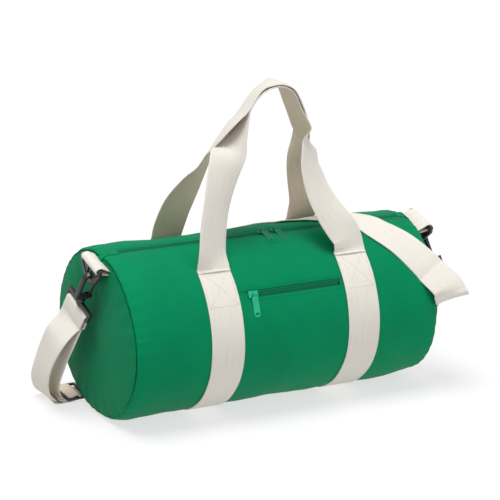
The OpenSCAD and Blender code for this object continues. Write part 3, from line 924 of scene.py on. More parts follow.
@dataclass
class SeamLines:
    """Dark line of painted shadow down in each end seam, made as a thin tube."""

    skin: Skin
    thick: float = 0.55 * MM
    lift: float = 0.15 * MM
    step: int = 2
    corners: int = 6

    def build(self, finishes: Finishes) -> None:
        """Builds both lines.

        Args:
            finishes: the bag's materials.
        """
        for side in Side:
            x = side.value * self.skin.half_l
            line = bmesh.new()
            rings = []
            for angle in range(0, 360, self.step):
                here = self.skin.point(x, angle, self.lift)
                run = (self.skin.point(x, angle + 1, self.lift) - here).normalized()
                out = Vector((0, here.y, here.z - self.skin.axis_z)).normalized()
                across = run.cross(out)
                rings.append([
                    line.verts.new(here + (out * math.cos(turn) + across * math.sin(turn)) * self.thick)
                    for turn in (math.tau * k / self.corners for k in range(self.corners))
                ])
            for near, far in zip(rings, rings[1:] + rings[:1]):
                for k in range(self.corners):
                    after = (k + 1) % self.corners
                    line.faces.new((near[k], far[k], far[after], near[after]))
            bmesh.ops.recalc_face_normals(line, faces=line.faces)
            # Painted shadow: a dark tube lying in the seam's groove
            finish_piece(line, f"seam_line_{side.word}", ROOT, finishes.seam)


@dataclass(frozen=True)
class Slot:
    """Opening in the cloth for a zip."""

    x: float
    length: float
    angle: float
    width: float

    @property
    def low(self) -> float:
        """Left end of the slot."""
        return self.x - self.length / 2

    @property
    def high(self) -> float:
        """Right end of the slot."""
        return self.x + self.length / 2


MAIN_SLOT = Slot(0.0, 456 * MM, MAIN_ZIP, 12 * MM)
POCKET_SLOT = Slot(POCKET_X, 150 * MM, POCKET_ZIP, 10 * MM)


@dataclass
class ClothShell:
    """The bag's cloth: one sheet, slotted for the zips and bent into the barrel and its ends."""

    skin: Skin
    columns: int = 236
    rows: int = 300
    lip: float = 2.2 * MM
    crease: float = 1.2 * MM
    crease_w: float = 1.3 * MM
    end_rim: float = 1 * MM
    end_facing: float = 0.6
    weld: float = 0.02 * MM
    cut_snap: float = 0.05 * MM
    snap: float = 0.1 * MM

    @property
    def pocket_seam(self) -> float:
        """Distance round the sheet of the seam above the pocket's zip."""
        return self.skin.around(POCKET_SLOT.angle) + POCKET_SLOT.width / 2

    def build(self, finishes: Finishes) -> bpy.types.Object:
        """Cuts, bends and dresses the sheet.

        Args:
            finishes: the bag's materials.

        Returns:
            The cloth piece.
        """
        skin = self.skin
        half_along = skin.half_l + skin.radius
        half_around = math.pi * skin.radius
        sheet = bmesh.new()
        bmesh.ops.create_grid(sheet, x_segments=self.columns, y_segments=self.rows, size=1.0)
        bmesh.ops.scale(sheet, vec=(half_along, half_around, 1.0), verts=sheet.verts)
        creases = [(Vector((1, 0, 0)), side.value * skin.half_l) for side in Side]
        creases.append((Vector((0, 1, 0)), self.pocket_seam))
        for normal, place in creases:
            for step in (-1, 0, 1):
                self.cut(sheet, normal, place + step * self.crease_w)
        for slot in (MAIN_SLOT, POCKET_SLOT):
            self.open_slot(sheet, slot)
        self.map_cloth(sheet)
        self.bend(sheet)
        bmesh.ops.remove_doubles(sheet, verts=sheet.verts, dist=self.weld)
        bmesh.ops.recalc_face_normals(sheet, faces=sheet.faces)
        self.turn_lips(sheet)
        made = finish_piece(
            sheet, "cloth_shell", ROOT, finishes.body,
            ("barrel_panel", "pocket_panel", "end_panel_left", "end_panel_right"),
        )
        # Painted shade: faces at the ends that face along the bag get the darker copy of the cloth
        made.data.materials.append(finishes.ends)
        for face in made.data.polygons:
            at_end = abs(face.center.x) > skin.half_l - self.end_rim
            face.material_index = int(at_end and abs(face.normal.x) > self.end_facing)
        return made

    def cut(self, sheet: bmesh.types.BMesh, normal: Vector, place: float) -> None:
        """Adds a line of edges across the whole sheet.

        Args:
            sheet: the flat sheet.
            normal: direction across the line.
            place: distance of the line from the middle.
        """
        everything = [*sheet.verts, *sheet.edges, *sheet.faces]
        bmesh.ops.bisect_plane(
            sheet, geom=everything, dist=self.cut_snap, plane_co=normal * place, plane_no=normal
        )

    def open_slot(self, sheet: bmesh.types.BMesh, slot: Slot) -> None:
        """Cuts a zip's slot out of the flat sheet.

        Args:
            sheet: the flat sheet.
            slot: slot to open.
        """
        middle = self.skin.around(slot.angle)
        for place in (slot.low, slot.high):
            self.cut(sheet, Vector((1, 0, 0)), place)
        for place in (middle - slot.width / 2, middle + slot.width / 2):
            self.cut(sheet, Vector((0, 1, 0)), place)
        inside = []
        for face in sheet.faces:
            at = face.calc_center_median()
            if slot.low < at.x < slot.high and abs(at.y - middle) < slot.width / 2:
                inside.append(face)
        bmesh.ops.delete(sheet, geom=inside, context="FACES")

    @staticmethod
    def map_cloth(sheet: bmesh.types.BMesh) -> None:
        """Writes the flat sheet's own place, in millimetres, as the cloth's map.

        Args:
            sheet: the flat sheet.
        """
        layer = sheet.loops.layers.uv.new(UV_NAME)
        for face in sheet.faces:
            for corner in face.loops:
                corner[layer].uv = (corner.vert.co.x / MM, corner.vert.co.y / MM)

    def bend(self, sheet: bmesh.types.BMesh) -> None:
        """Bends the flat sheet to the bag and presses the pocket's seam in.

        Args:
            sheet: the flat sheet, with its slots.
        """
        skin = self.skin
        reach = skin.band_x - skin.webbing_w / 2
        for vert in sheet.verts:
            flat = vert.co.copy()
            vert.co = skin.bent(flat.x, flat.y)
            if abs(flat.y - self.pocket_seam) < self.snap and abs(flat.x) < reach:
                vert.co -= skin.outward(flat.x, skin.angle_at(flat.y)) * self.crease

    def turn_lips(self, sheet: bmesh.types.BMesh) -> None:
        """Turns the slots' edges in, as a hem does.

        Args:
            sheet: the bent sheet.
        """
        rims = [edge for edge in sheet.edges if edge.is_boundary]
        grown = bmesh.ops.extrude_edge_only(sheet, edges=rims)
        for vert in (item for item in grown["geom"] if isinstance(item, bmesh.types.BMVert)):
            outward = Vector((0, vert.co.y, vert.co.z - self.skin.axis_z)).normalized()
            vert.co -= outward * self.lip


# Webbing

@dataclass(frozen=True)
class Station:
    """Point of a strap's middle line and the way that its face looks."""

    at: Vector
    face: Vector


def station(x: float, y: float, z: float, face: Sequence[float]) -> Station:
    """Makes a station from numbers."""
    return Station(Vector((x, y, z)), Vector(face))


def arc(
    middle: Vector, first: Vector, second: Vector, radius: float, start: float, steps: int
) -> list[Station]:
    """Half a turn round a bar, with the face outwards.

    Args:
        middle: middle of the bar.
        first: direction of an angle of 0.
        second: direction that the turn goes to.
        radius: radius of the turn.
        start: angle of its first station.
        steps: steps of the half turn.

    Returns:
        The stations.
    """
    run = []
    for step in range(steps + 1):
        turn = start + math.pi * step / steps
        way = first * math.cos(turn) + second * math.sin(turn)
        run.append(Station(middle + way * radius, way))
    return run


def between(a: Vector, b: Vector, c: Vector, d: Vector, share: float) -> Vector:
    """Point on the smooth curve from b to c, with a before it and d after it.

    Args:
        a: place before the stretch.
        b: start of the stretch.
        c: end of the stretch.
        d: place after the stretch.
        share: 0 at its start and 1 at its end.

    Returns:
        The point.
    """
    return (
        b + (c - a) * (share / 2) + (a * 2 - b * 5 + c * 4 - d) * (share ** 2 / 2)
        + (b * 3 - a - c * 3 + d) * (share ** 3 / 2)
    )


def smoothed(stations: Sequence[Station], steps: int = 10) -> list[Station]:
    """Fills in a smooth run between stations.

    Args:
        stations: the given stations.
        steps: steps between two of them.

    Returns:
        The run, ends included.
    """
    last = len(stations) - 1
    run = []
    for index in range(last):
        near = [stations[min(max(k, 0), last)] for k in range(index - 1, index + 3)]
        for step in range(steps):
            share = step / steps
            run.append(Station(
                between(*(s.at for s in near), share), between(*(s.face for s in near), share)
            ))
    run.append(stations[last])
    return run


@dataclass
class Strip:
    """Flat woven strip laid along a run of stations, with a rounded section."""

    name: str
    run: list[Station]
    width: float = 50 * MM
    thick: float = 2 * MM
    cup: float = 0.0
    wave: float = 0.4 * MM
    across: int = 12
    sharp: float = 50.0
    cup_level: float = 0.35
    wave_steps: tuple[float, float] = (28, 1.2)
    weld: float = 0.002 * MM

    def frames(self) -> list[Frame]:
        """Middle, sideways, outward and length so far, at each station of the run.

        Returns:
            One frame a station.
        """
        frames = []
        length = 0.0
        last = len(self.run) - 1
        for index, here in enumerate(self.run):
            ahead = self.run[min(index + 1, last)].at - self.run[max(index - 1, 0)].at
            ahead.normalize()
            out = (here.face - ahead * here.face.dot(ahead)).normalized()
            if index:
                length += (here.at - self.run[index - 1].at).length
            frames.append((here.at, ahead.cross(out), out, length))
        return frames

    def section(self) -> list[tuple[float, float]]:
        """Points round the strip's section.

        Returns:
            Each point's place across, as a share of the half width, and its height.
        """
        half = self.thick / 2
        edge = 1 - half / (self.width / 2)
        flat = [edge * (2 * k / self.across - 1) for k in range(self.across + 1)]
        top = [(share, half) for share in flat]
        under = [(share, -half) for share in reversed(flat)]
        turns = [math.pi * k / 4 for k in (1, 2, 3)]
        bulge = [(edge + (1 - edge) * math.sin(t), half * math.cos(t)) for t in turns]
        return [*top, *bulge, *under, *((-share, -high) for share, high in bulge), top[0]]

    def mesh(self) -> bmesh.types.BMesh:
        """Bends a grid round the section and along the run, with its own map in millimetres.

        Returns:
            The closed strip.
        """
        frames = self.frames()
        section = self.section()
        half = self.width / 2
        along, across = self.wave_steps
        strip = bmesh.new()
        layer = strip.loops.layers.uv.new(UV_NAME)
        under = strip.verts.layers.float.new("under")
        columns, rows = len(frames) - 1, len(section) - 1
        bmesh.ops.create_grid(strip, x_segments=columns, y_segments=rows, size=1.0)
        for vert in strip.verts:
            middle, sideways, out, length = frames[round((vert.co.x + 1) / 2 * columns)]
            share, height = section[round((vert.co.y + 1) / 2 * rows)]
            # Marks the underside's corners, whose faces get the painted shade copy of the webbing
            vert[under] = float(height < -self.thick / 4)
            for loop in vert.link_loops:
                loop[layer].uv = (length / MM, share * half / MM)
            height += self.cup * (share * share - self.cup_level)
            spot = Vector((length * along, share * across, len(self.name)))
            height += self.wave * noise.noise(spot)
            vert.co = middle + sideways * (share * half) + out * height
        bmesh.ops.remove_doubles(strip, verts=strip.verts, dist=self.weld)
        bmesh.ops.holes_fill(strip, edges=[edge for edge in strip.edges if edge.is_boundary])
        bmesh.ops.recalc_face_normals(strip, faces=strip.faces)
        return strip

    def build(
        self, body: str, finishes: Finishes, stands_for: Iterable[str], slot: str = "webbing"
    ) -> bpy.types.Object:
        """Builds the strip, with a darker copy of the webbing on its underside as painted shade.

        Args:
            body: body that it rides on.
            finishes: the bag's materials.
            stands_for: CAD nodes that it stands for.
            slot: not used.

        Returns:
            The strip.
        """
        made = finish_piece(self.mesh(), self.name, body, finishes.webbing, stands_for)
        # Painted shade: faces whose corners all lie on the underside get the darker webbing copy
        made.data.materials.append(finishes.reverse)
        under = made.data.attributes["under"].data
        for face in made.data.polygons:
            face.material_index = int(all(under[v].value > 0.5 for v in face.vertices))
        made.data.set_sharp_from_angle(angle=math.radians(self.sharp))
        return made


# Handles: stations in shares of the sizes below, each with the way that its face looks

HANDLE_HALF = 108 * MM
FOOT_Y = 75.47 * MM
FOOT_Z = 219.15 * MM
HANDLE_RISE = 241 * MM
GRIP_LIFT = 3.5 * MM
GRIP_FIRST = 9
GRIP_LAST = 13

FRONT_HANDLE = (
    (-1, -1, 0, 0, -0.6, 0.8), (-0.99, -0.94, 0.086, 0.3, -0.9, 0.3),
    (-0.945, -0.837, 0.21, 0.3, -0.95, 0.1), (-0.855, -0.695, 0.342, 0.3, -0.95, 0.1),
    (-0.75, -0.566, 0.465, 0.15, -0.97, 0.15), (-0.63, -0.425, 0.576, -0.15, -0.92, 0.3),
    (-0.489, -0.192, 0.649, -0.74, -0.4, 0.38), (-0.302, -0.049, 0.767, -0.79, 0.15, 0.55),
    (-0.195, -0.015, 0.852, -0.62, 0.25, 0.72), (-0.055, -0.007, 0.909, -0.5, 0.3, 0.8),
    (0.083, 0, 0.944, -0.25, 0.2, 0.95), (0.23, 0, 0.959, 0.05, 0.02, 1),
    (0.375, 0, 0.92, 0.68, 0, 0.72), (0.5, 0, 0.802, 0.88, 0.05, 0.47),
    (0.62, -0.1, 0.665, 0.93, 0.1, 0.35), (0.65, -0.25, 0.59, 0.6, -0.76, 0.1),
    (0.6, -0.45, 0.49, 0.45, -0.9, 0), (0.63, -0.605, 0.374, 0.4, -0.9, 0),
    (0.727, -0.746, 0.259, 0.35, -0.93, 0.05), (0.864, -0.875, 0.156, 0.2, -0.97, 0.1),
    (0.973, -0.952, 0.078, 0.1, -0.9, 0.3), (1, -1, 0, 0, -0.6, 0.8),
)
BACK_LEFT_LEG = (
    (-1, 1, 0, 0, 0.6, 0.8), (-0.97, 0.94, 0.09, 0, 0.95, 0.3), (-0.91, 0.8, 0.218, -0.1, 1, 0.1),
    (-0.79, 0.64, 0.354, -0.35, 0.9, 0.2), (-0.65, 0.5, 0.473, -0.6, 0.7, 0.35),
    (-0.56, 0.34, 0.6, -0.7, 0.55, 0.4), (-0.463, 0.029, 0.728, -0.7, 0.35, 0.5),
    (-0.279, -0.013, 0.81, -0.79, 0.27, 0.54),
)
BACK_RIGHT_LEG = (
    (0.63, 0.04, 0.7, 0.9, -0.05, 0.3), (0.7, 0.2, 0.62, 0.9, -0.1, 0.2),
    (0.8, 0.36, 0.53, 0.9, 0.25, 0.05), (0.86, 0.5, 0.432, 0.75, 0.66, 0),
    (0.97, 0.7, 0.28, 0.35, 0.93, 0), (1.05, 0.875, 0.136, 0.1, 0.98, 0.15), (1, 1, 0, 0, 0.6, 0.8),
)

# Strap on the barrel: place along the bag in millimetres, and angle

OVER_BARREL = (
    (234, 31), (203, 51), (175, 68), (156, 86), (109, 101.5), (84, 109), (59, 121), (4, 140),
    (-50, 153), (-100, 171),
)

# Strap off the barrel: stations in millimetres, each with the way that its face looks

FOLD = (
    (280, -60, 131, 0.9, 0.05, -0.35), (275, -76, 136, 0.6, 0.1, -0.75),
    (266, -98, 140, 0.15, 0, -0.95), (257, -118, 141.5, 0.12, -0.19, -0.96),
    (251, -128, 143.5, 0.04, -0.65, -0.75), (247, -129.5, 150, -0.2, -0.97, 0.02),
    (242, -125.5, 163, -0.12, -0.87, 0.45),
)
LANDING = (
    (-132, 129, 92, 0, 1, 0.05), (-158, 129, 62, 0.05, 0.95, 0.35), (-180, 120, 36, 0.15, 0.7, 0.7),
    (-197, 106, 15, 0.2, 0.25, 0.93), (-207, 93, 4.5, 0.12, 0.03, 1),
)
OUTER_LOOP = (
    (-299.5, 27, 114, -1, -0.1, 0.1), (-305, 46, 82, -1, 0, 0.05), (-305, 63, 52, -1, 0, -0.1),
    (-300, 77, 26, -0.85, 0, -0.5), (-290, 84, 8, -0.4, 0, -0.9),
)
INNER_LOOP = (
    (-282, 25, 110, -1, 0, 0.2), (-285, 45, 80, -1, 0, 0.1), (-286, 64, 53, -1, 0, -0.05),
    (-285, 78, 30, -0.9, 0, -0.4), (-281, 84, 14, -0.6, 0, -0.8),
)

# Strap on the floor: places along the tri-glide and up, in millimetres

FLOOR_Z = 1.2
LONG_FLOOR = ((40, FLOOR_Z), (28.2, FLOOR_Z), (24.2, FLOOR_Z))
OUTER_FLOOR = ((-30, FLOOR_Z), (-18, FLOOR_Z), (-9, 1.4), (2.3, 3.4))
INNER_FLOOR = (
    (-24, 4.4), (-16, 3.4), (-13, 3.6), (-8.3, 6.2), (-3.6, 8.7), (0, 9.1), (3.6, 8.7), (8.3, 5.1),
    (14.4, 1.4), (18, FLOOR_Z), (24, FLOOR_Z),
)

# Tabs at the rings' bars: reach inwards and distance of each layer from the middle, in millimetres

TAB_TAIL = ((24, 0.6), (18, 2.2), (12, 3.2), (7, 4.0), (3, 4.3))

# Bars of the rings, which the tabs hold

RING_X = 264 * MM
RING_Y = -17 * MM
RING_Z = 229 * MM
RING_LEAN = math.radians(13)


def ring_bar(side: Side) -> Vector:
    """Middle of one ring's bar."""
    return Vector((side.value * RING_X, RING_Y, RING_Z))


def from_handle(shares: Sequence[float]) -> Station:
    """Station of a handle from its shares of the handle's sizes."""
    x, y, z, *face = shares
    return station(x * HANDLE_HALF, y * FOOT_Y, FOOT_Z + z * HANDLE_RISE, face)


def lifted(here: Station, height: float) -> Station:
    """The same station on top of another layer."""
    return Station(here.at + here.face.normalized() * height, here.face)


def in_mm(numbers: Sequence[float]) -> Station:
    """Station from millimetres."""
    x, y, z, *face = numbers
    return station(x * MM, y * MM, z * MM, face)


@dataclass
class Bands:
    """The two bands that go round the bag, and the handles' sewn feet."""

    skin: Skin
    top: float = 53.5
    row: float = 27.0
    step: float = 1.6
    lift: float = 0.25 * MM
    thread_lift: float = 0.45 * MM
    stitch_pitch: float = 3.1 * MM
    inset: float = 3.2 * MM
    top_inset: float = 1.5
    wave: float = 0.15 * MM

    def build(self, finishes: Finishes) -> None:
        """Builds both bands.

        Args:
            finishes: the bag's materials.
        """
        lift = self.skin.webbing_t / 2 + self.lift
        reach = 360 - 2 * (90 - self.top)
        count = round(reach / self.step)
        for side in Side:
            x = side.value * self.skin.band_x
            run = []
            for index in range(count + 1):
                angle = self.top - index * reach / count
                run.append(Station(self.skin.point(x, angle, lift), self.skin.outward(x, angle)))
            name = f"band_{side.word}"
            Strip(name + "_webbing", run, wave=self.wave).build(ROOT, finishes, (name,))

    def lines(self, x: float, top: float, row: float) -> list[list[tuple[float, float]]]:
        """Rows of stitching of one foot: a box and its cross.

        Args:
            x: middle of the band.
            top: angle of the upper row.
            row: angle of the lower row.

        Returns:
            Each row as points along the bag and angles.
        """
        half = self.skin.webbing_w / 2 - self.inset
        left, right = x - half, x + half
        return [
            [(left, top), (right, top)], [(left, row), (right, row)],
            [(left, top), (left, row)], [(right, top), (right, row)],
            [(left, top), (right, row)], [(left, row), (right, top)],
        ]

    def sew(self, sewing: "Sewing") -> None:
        """Sews every foot with a pale thread.

        Args:
            sewing: the thread's stitches.
        """
        lift = self.skin.webbing_t + self.thread_lift
        top = self.top - self.top_inset
        for side in Side:
            x = side.value * self.skin.band_x
            for high, low in ((top, self.row), (180 - top, 180 - self.row)):
                for line in self.lines(x, high, low):
                    sewing.on_skin(line, lift, self.stitch_pitch)


@dataclass
class Sewing:
    """Rows of single stitches, gathered into one piece for each thread."""

    skin: Skin
    name: str
    length: float = 2.7 * MM
    thick: float = 0.9 * MM
    cover: float = 0.3

    def __post_init__(self) -> None:
        """Starts with no stitches."""
        self.mesh = bmesh.new()

    def stitch(self, start: Vector, end: Vector, out: Vector) -> None:
        """Adds one stitch.

        Args:
            start: where the thread comes out.
            end: where it goes in.
            out: direction out of the cloth.
        """
        along = (end - start).normalized()
        sideways = along.cross(out).normalized()
        turn = Matrix((along, sideways, along.cross(sideways))).transposed().to_4x4()
        size = Matrix.Diagonal((self.length / 2, self.thick / 2, self.thick / 2, 1.0))
        place = Matrix.Translation((start + end) / 2) @ turn @ size
        bmesh.ops.create_icosphere(self.mesh, subdivisions=1, radius=1.0, matrix=place)

    def on_skin(self, line: Sequence[tuple[float, float]], lift: float, pitch: float) -> None:
        """Sews along a line on the barrel.

        Args:
            line: its two ends, along the bag and as an angle.
            lift: height over the cloth.
            pitch: distance between stitches.
        """
        (x0, a0), (x1, a1) = line
        reach = math.hypot(x1 - x0, math.radians(a1 - a0) * self.skin.radius)
        count = max(1, round(reach / pitch))
        for index in range(count):
            share = (index + 0.5) / count
            gap = self.cover / count
            x, angle = x0 + (x1 - x0) * share, a0 + (a1 - a0) * share
            start, end = (
                self.skin.point(x + way * (x1 - x0) * gap, angle + way * (a1 - a0) * gap, lift)
                for way in (-1, 1)
            )
            self.stitch(start, end, self.skin.outward(x, angle))

    def on_run(
        self, frames: Sequence[Frame], start: float, ends: tuple[float, float], lift: float, pitch: float
    ) -> None:
        """Sews a row across a strip.

        Args:
            frames: the strip's frames.
            start: length along the strip.
            ends: where the row starts and ends, across.
            lift: height over the strip's middle line.
            pitch: distance between stitches.
        """
        middle, sideways, out, _ = min(frames, key=lambda item: abs(item[3] - start))
        low, high = ends
        count = max(1, round(abs(high - low) / pitch))
        for index in range(count):
            at = low + (high - low) * (index + 0.5) / count
            half = self.cover * (high - low) / count
            near, far = (middle + sideways * (at + way * half) + out * lift for way in (-1, 1))
            self.stitch(near, far, out)

    def build(self, material: bpy.types.Material, slot: str) -> bpy.types.Object:
        """Makes the stitches one piece."""
        return finish_piece(self.mesh, self.name, ROOT, material)


@dataclass
class Handles:
    """The two grip handles, which meet in the hand."""

    skin: Skin
    flex: float = 34 * MM
    foot_low: float = 50.4
    foot_top: float = 52.4
    foot_lift: float = 3.35 * MM
    cup: float = -1.2 * MM

    def front_run(self) -> list[Station]:
        """Run of the front handle."""
        return self.footed(smoothed([from_handle(s) for s in FRONT_HANDLE]), Face.FRONT)

    def back_run(self) -> list[Station]:
        """Run of the back handle, whose grip lies on the front one's.

        Returns:
            The run with both feet.
        """
        shared = FRONT_HANDLE[GRIP_FIRST:GRIP_LAST + 1]
        grip = [lifted(from_handle(s), GRIP_LIFT) for s in shared]
        left, right = ([from_handle(s) for s in leg] for leg in (BACK_LEFT_LEG, BACK_RIGHT_LEG))
        return self.footed(smoothed([*left, *grip, *right]), Face.BACK)

    def footed(self, run: list[Station], face: Face) -> list[Station]:
        """Adds the feet, which lie on the bands and are sewn down.

        Args:
            run: run of the handle between its feet.
            face: long side of the bag that the handle is on.

        Returns:
            The run with both feet.
        """
        feet = []
        for side in Side:
            foot = []
            for angle in (self.foot_low, (self.foot_low + self.foot_top) / 2, self.foot_top):
                turn = angle if face is Face.FRONT else 180 - angle
                x = side.value * self.skin.band_x
                at = self.skin.point(x, turn, self.foot_lift)
                foot.append(Station(at, self.skin.outward(x, turn)))
            feet.append(foot)
        left, right = feet
        return [*left, *run[2:-2], *reversed(right)]

    def build(self, finishes: Finishes) -> None:
        """Builds both handles, laid over their feet, and takes each off its body.

        Args:
            finishes: the bag's materials.
        """
        for face, run in ((Face.FRONT, self.front_run()), (Face.BACK, self.back_run())):
            name = f"handle_{face.name.lower()}"
            made = Strip(name + "_webbing", run, cup=self.cup).build(name, finishes, (name,))
            bend_between(made)


@dataclass
class Clips:
    """Black moulded hardware at both ends: rings, hooks, gates, swivels and the tri-glide."""

    edge: float = 0.7 * MM
    flat: float = 1.0
    weld: float = 0.005 * MM
    plate_t: float = 3.2 * MM
    plate_sharp: float = 30.0
    plate_rim: tuple[tuple[float, float], ...] = ((-23, -2), (23, -2), (15, -24), (-15, -24))
    plate_eye: tuple[tuple[float, float], ...] = ((-6, -8), (6, -8), (9.5, -20.5), (-9.5, -20.5))

    def moulded(
        self, node: str, material: bpy.types.Material, slot: str, edge: float, body: str
    ) -> bpy.types.Object:
        """Copies a CAD node with its edges rounded.

        Args:
            node: CAD node.
            material: finish of the piece.
            slot: not used.
            edge: radius of the rounded edges.
            body: body that it rides on.

        Returns:
            The rounded piece.
        """
        shape = bmesh.new()
        shape.from_mesh(frame["nodes"][node].data)
        bmesh.ops.remove_doubles(shape, verts=shape.verts, dist=self.weld)
        bmesh.ops.dissolve_limit(
            shape, angle_limit=math.radians(self.flat), use_dissolve_boundaries=False,
            verts=shape.verts, edges=shape.edges,
        )
        made = finish_piece(shape, node + "_moulded", body, material, (node,))
        round_edges(made, edge, use_clamp_overlap=True, harden_normals=True)
        return made

    def build(self, finishes: Finishes) -> None:
        """Rounds every clip part and fills the rings' corners.

        Args:
            finishes: the bag's materials.
        """
        for side in Side:
            for kind in ("ring", "hook", "gate", "swivel"):
                name = f"{kind}_{side.word}"
                edge = self.edge / 2 if kind == "gate" else self.edge
                self.moulded(name, finishes.clip, "clip_plastic", edge, name)
            self.plate(side, finishes)
        self.moulded("tri_glide", finishes.clip, "clip_plastic", self.edge, ROOT)

    def plate(self, side: Side, finishes: Finishes) -> None:
        """Fills the ring's corners, which leaves the small eye that the hook hangs in.

        Args:
            side: end of the bag.
            finishes: the bag's materials.
        """
        place = Matrix.Translation(ring_bar(side)) @ Matrix.Rotation(RING_LEAN, 4, "X")
        shape = bmesh.new()
        back_rim, back_eye, front_rim, front_eye = (
            [shape.verts.new(place @ Vector((x, y * MM, z * MM))) for y, z in outline]
            for x in (-self.plate_t / 2, self.plate_t / 2)
            for outline in (self.plate_rim, self.plate_eye)
        )
        pairs = ((back_rim, back_eye), (front_rim, front_eye), (back_rim, front_rim), (back_eye, front_eye))
        for first, second in pairs:
            for k in range(len(first)):
                after = (k + 1) % len(first)
                shape.faces.new((first[k], first[after], second[after], second[k]))
        bmesh.ops.recalc_face_normals(shape, faces=shape.faces)
        ring = f"ring_{side.word}"
        made = finish_piece(shape, ring + "_plate", ring, finishes.clip)
        made.data.set_sharp_from_angle(angle=math.radians(self.plate_sharp))
        round_edges(made, self.edge)


@dataclass
class Zips:
    """Both zips: sewn lips, finished tapes and end stops, closed chains, rounded sliders and pulls."""

    skin: Skin
    clips: Clips
    edge: float = 0.35 * MM
    lip_gap: float = 4.0 * MM
    pitch: float = 3.0 * MM
    lift: float = 0.1 * MM

    def build(self, finishes: Finishes) -> None:
        """Dresses the tapes and end stops, closes the chains and rounds the sliders and pulls.

        Args:
            finishes: the bag's materials.
        """
        for name, node in frame["nodes"].items():
            if "zip_ends" in name:
                self.dress(node, finishes.teeth)
            elif "zip_tape" in name:
                self.dress(node, finishes.tape)
            elif name == "pocket_lining":
                self.dress(node, finishes.lining)
        for side in Side:
            self.moving(f"main_slider_{side.word}", "zip_slider", finishes.slider)
            self.moving(f"main_pull_{side.word}", "zip_pull", finishes.pull)
        Chain(self.skin, MAIN_SLOT, "main").build(finishes)
        Chain(self.skin, POCKET_SLOT, "pocket").build(finishes)
        self.moving("pocket_slider", "zip_slider", finishes.bright_pull)
        self.moving("pocket_pull", "zip_pull", finishes.bright_pull)

    def moving(self, name: str, slot: str, material: bpy.types.Material) -> None:
        """Rounds a slider or a pull, which rides on a body of its own name."""
        self.clips.moulded(name, material, slot, self.edge, name)

    @staticmethod
    def dress(node: bpy.types.Object, material: bpy.types.Material) -> None:
        """Gives a CAD node its finish."""
        node.data.materials.clear()
        node.data.materials.append(material)

    def sew(self, sewing: Sewing) -> None:
        """Sews the lips of both zips.

        Args:
            sewing: the thread's stitches.
        """
        for slot in (MAIN_SLOT, POCKET_SLOT):
            turn = math.degrees((slot.width / 2 + self.lip_gap) / self.skin.radius)
            low, high = slot.angle - turn, slot.angle + turn
            left, right = slot.low - self.lip_gap, slot.high + self.lip_gap
            rows = [[(left, low), (right, low)], [(left, high), (right, high)]]
            if slot is POCKET_SLOT:
                rows += [[(left, low), (left, high)], [(right, low), (right, high)]]
            for row in rows:
                sewing.on_skin(row, self.lift, self.pitch)


@dataclass
class Chain:
    """Closed chain of one zip: two cords with teeth that mesh between them."""

    skin: Skin
    slot: Slot
    name: str
    floor_r: float = 118.8 * MM
    pitch: float = 3.2 * MM
    tooth: float = 2.0 * MM
    reach: float = 3.6 * MM
    overlap: float = 0.7 * MM
    height: float = 2.2 * MM
    cord: float = 1.5 * MM
    cord_share: float = 0.8
    worn: float = 0.4 * MM
    sharp: float = 35.0
    inset: float = 3.6 * MM

    def build(self, finishes: Finishes) -> None:
        """Builds both rows.

        Args:
            finishes: the bag's materials.
        """
        turn = Matrix.Rotation(math.radians(90 - self.slot.angle), 4, "X")
        place = Matrix.Translation((0, 0, self.skin.axis_z)) @ turn
        length = self.slot.length - 2 * self.inset
        count = int(length / self.pitch)
        start = self.slot.x - count * self.pitch / 2
        for side, words in ((-1, ("front", "lower")), (1, ("back", "upper"))):
            row = bmesh.new()
            for index in range(count):
                x = start + (index + 0.5 + side / 4) * self.pitch
                middle = side * (self.reach / 2 - self.overlap)
                self.block(row, place, (x, middle), (self.tooth, self.reach, self.height), True)
            outer = side * (self.reach - self.overlap + self.cord / 2)
            size = (length, self.cord, self.height * self.cord_share)
            self.block(row, place, (self.slot.x, outer), size, False)
            nodes = [f"{self.name}_zip_teeth_{word}" for word in words]
            node = next(item for item in nodes if item in frame["nodes"])
            made = finish_piece(row, node + "_meshed", ROOT, finishes.teeth, (node,))
            made.data.set_sharp_from_angle(angle=math.radians(self.sharp))

    def block(
        self, row: bmesh.types.BMesh, place: Matrix, at: tuple[float, float],
        size: tuple[float, float, float], rounded: bool,
    ) -> None:
        """Adds one tooth or cord.

        Args:
            row: mesh that it is added to.
            place: the zip's own frame.
            at: its middle, along and across the zip.
            size: its length, width and height.
            rounded: whether its edges are rounded.
        """
        x, y = at
        middle = Matrix.Translation((x, y, self.floor_r + size[2] / 2))
        made = bmesh.ops.create_cube(row, size=1.0, matrix=place @ middle @ Matrix.Diagonal((*size, 1.0)))
        if rounded:
            edges = list({edge for vert in made["verts"] for edge in vert.link_edges})
            bmesh.ops.bevel(
                row, geom=edges, offset=self.worn, segments=1, profile=0.5, affect="EDGES", material=-1
            )


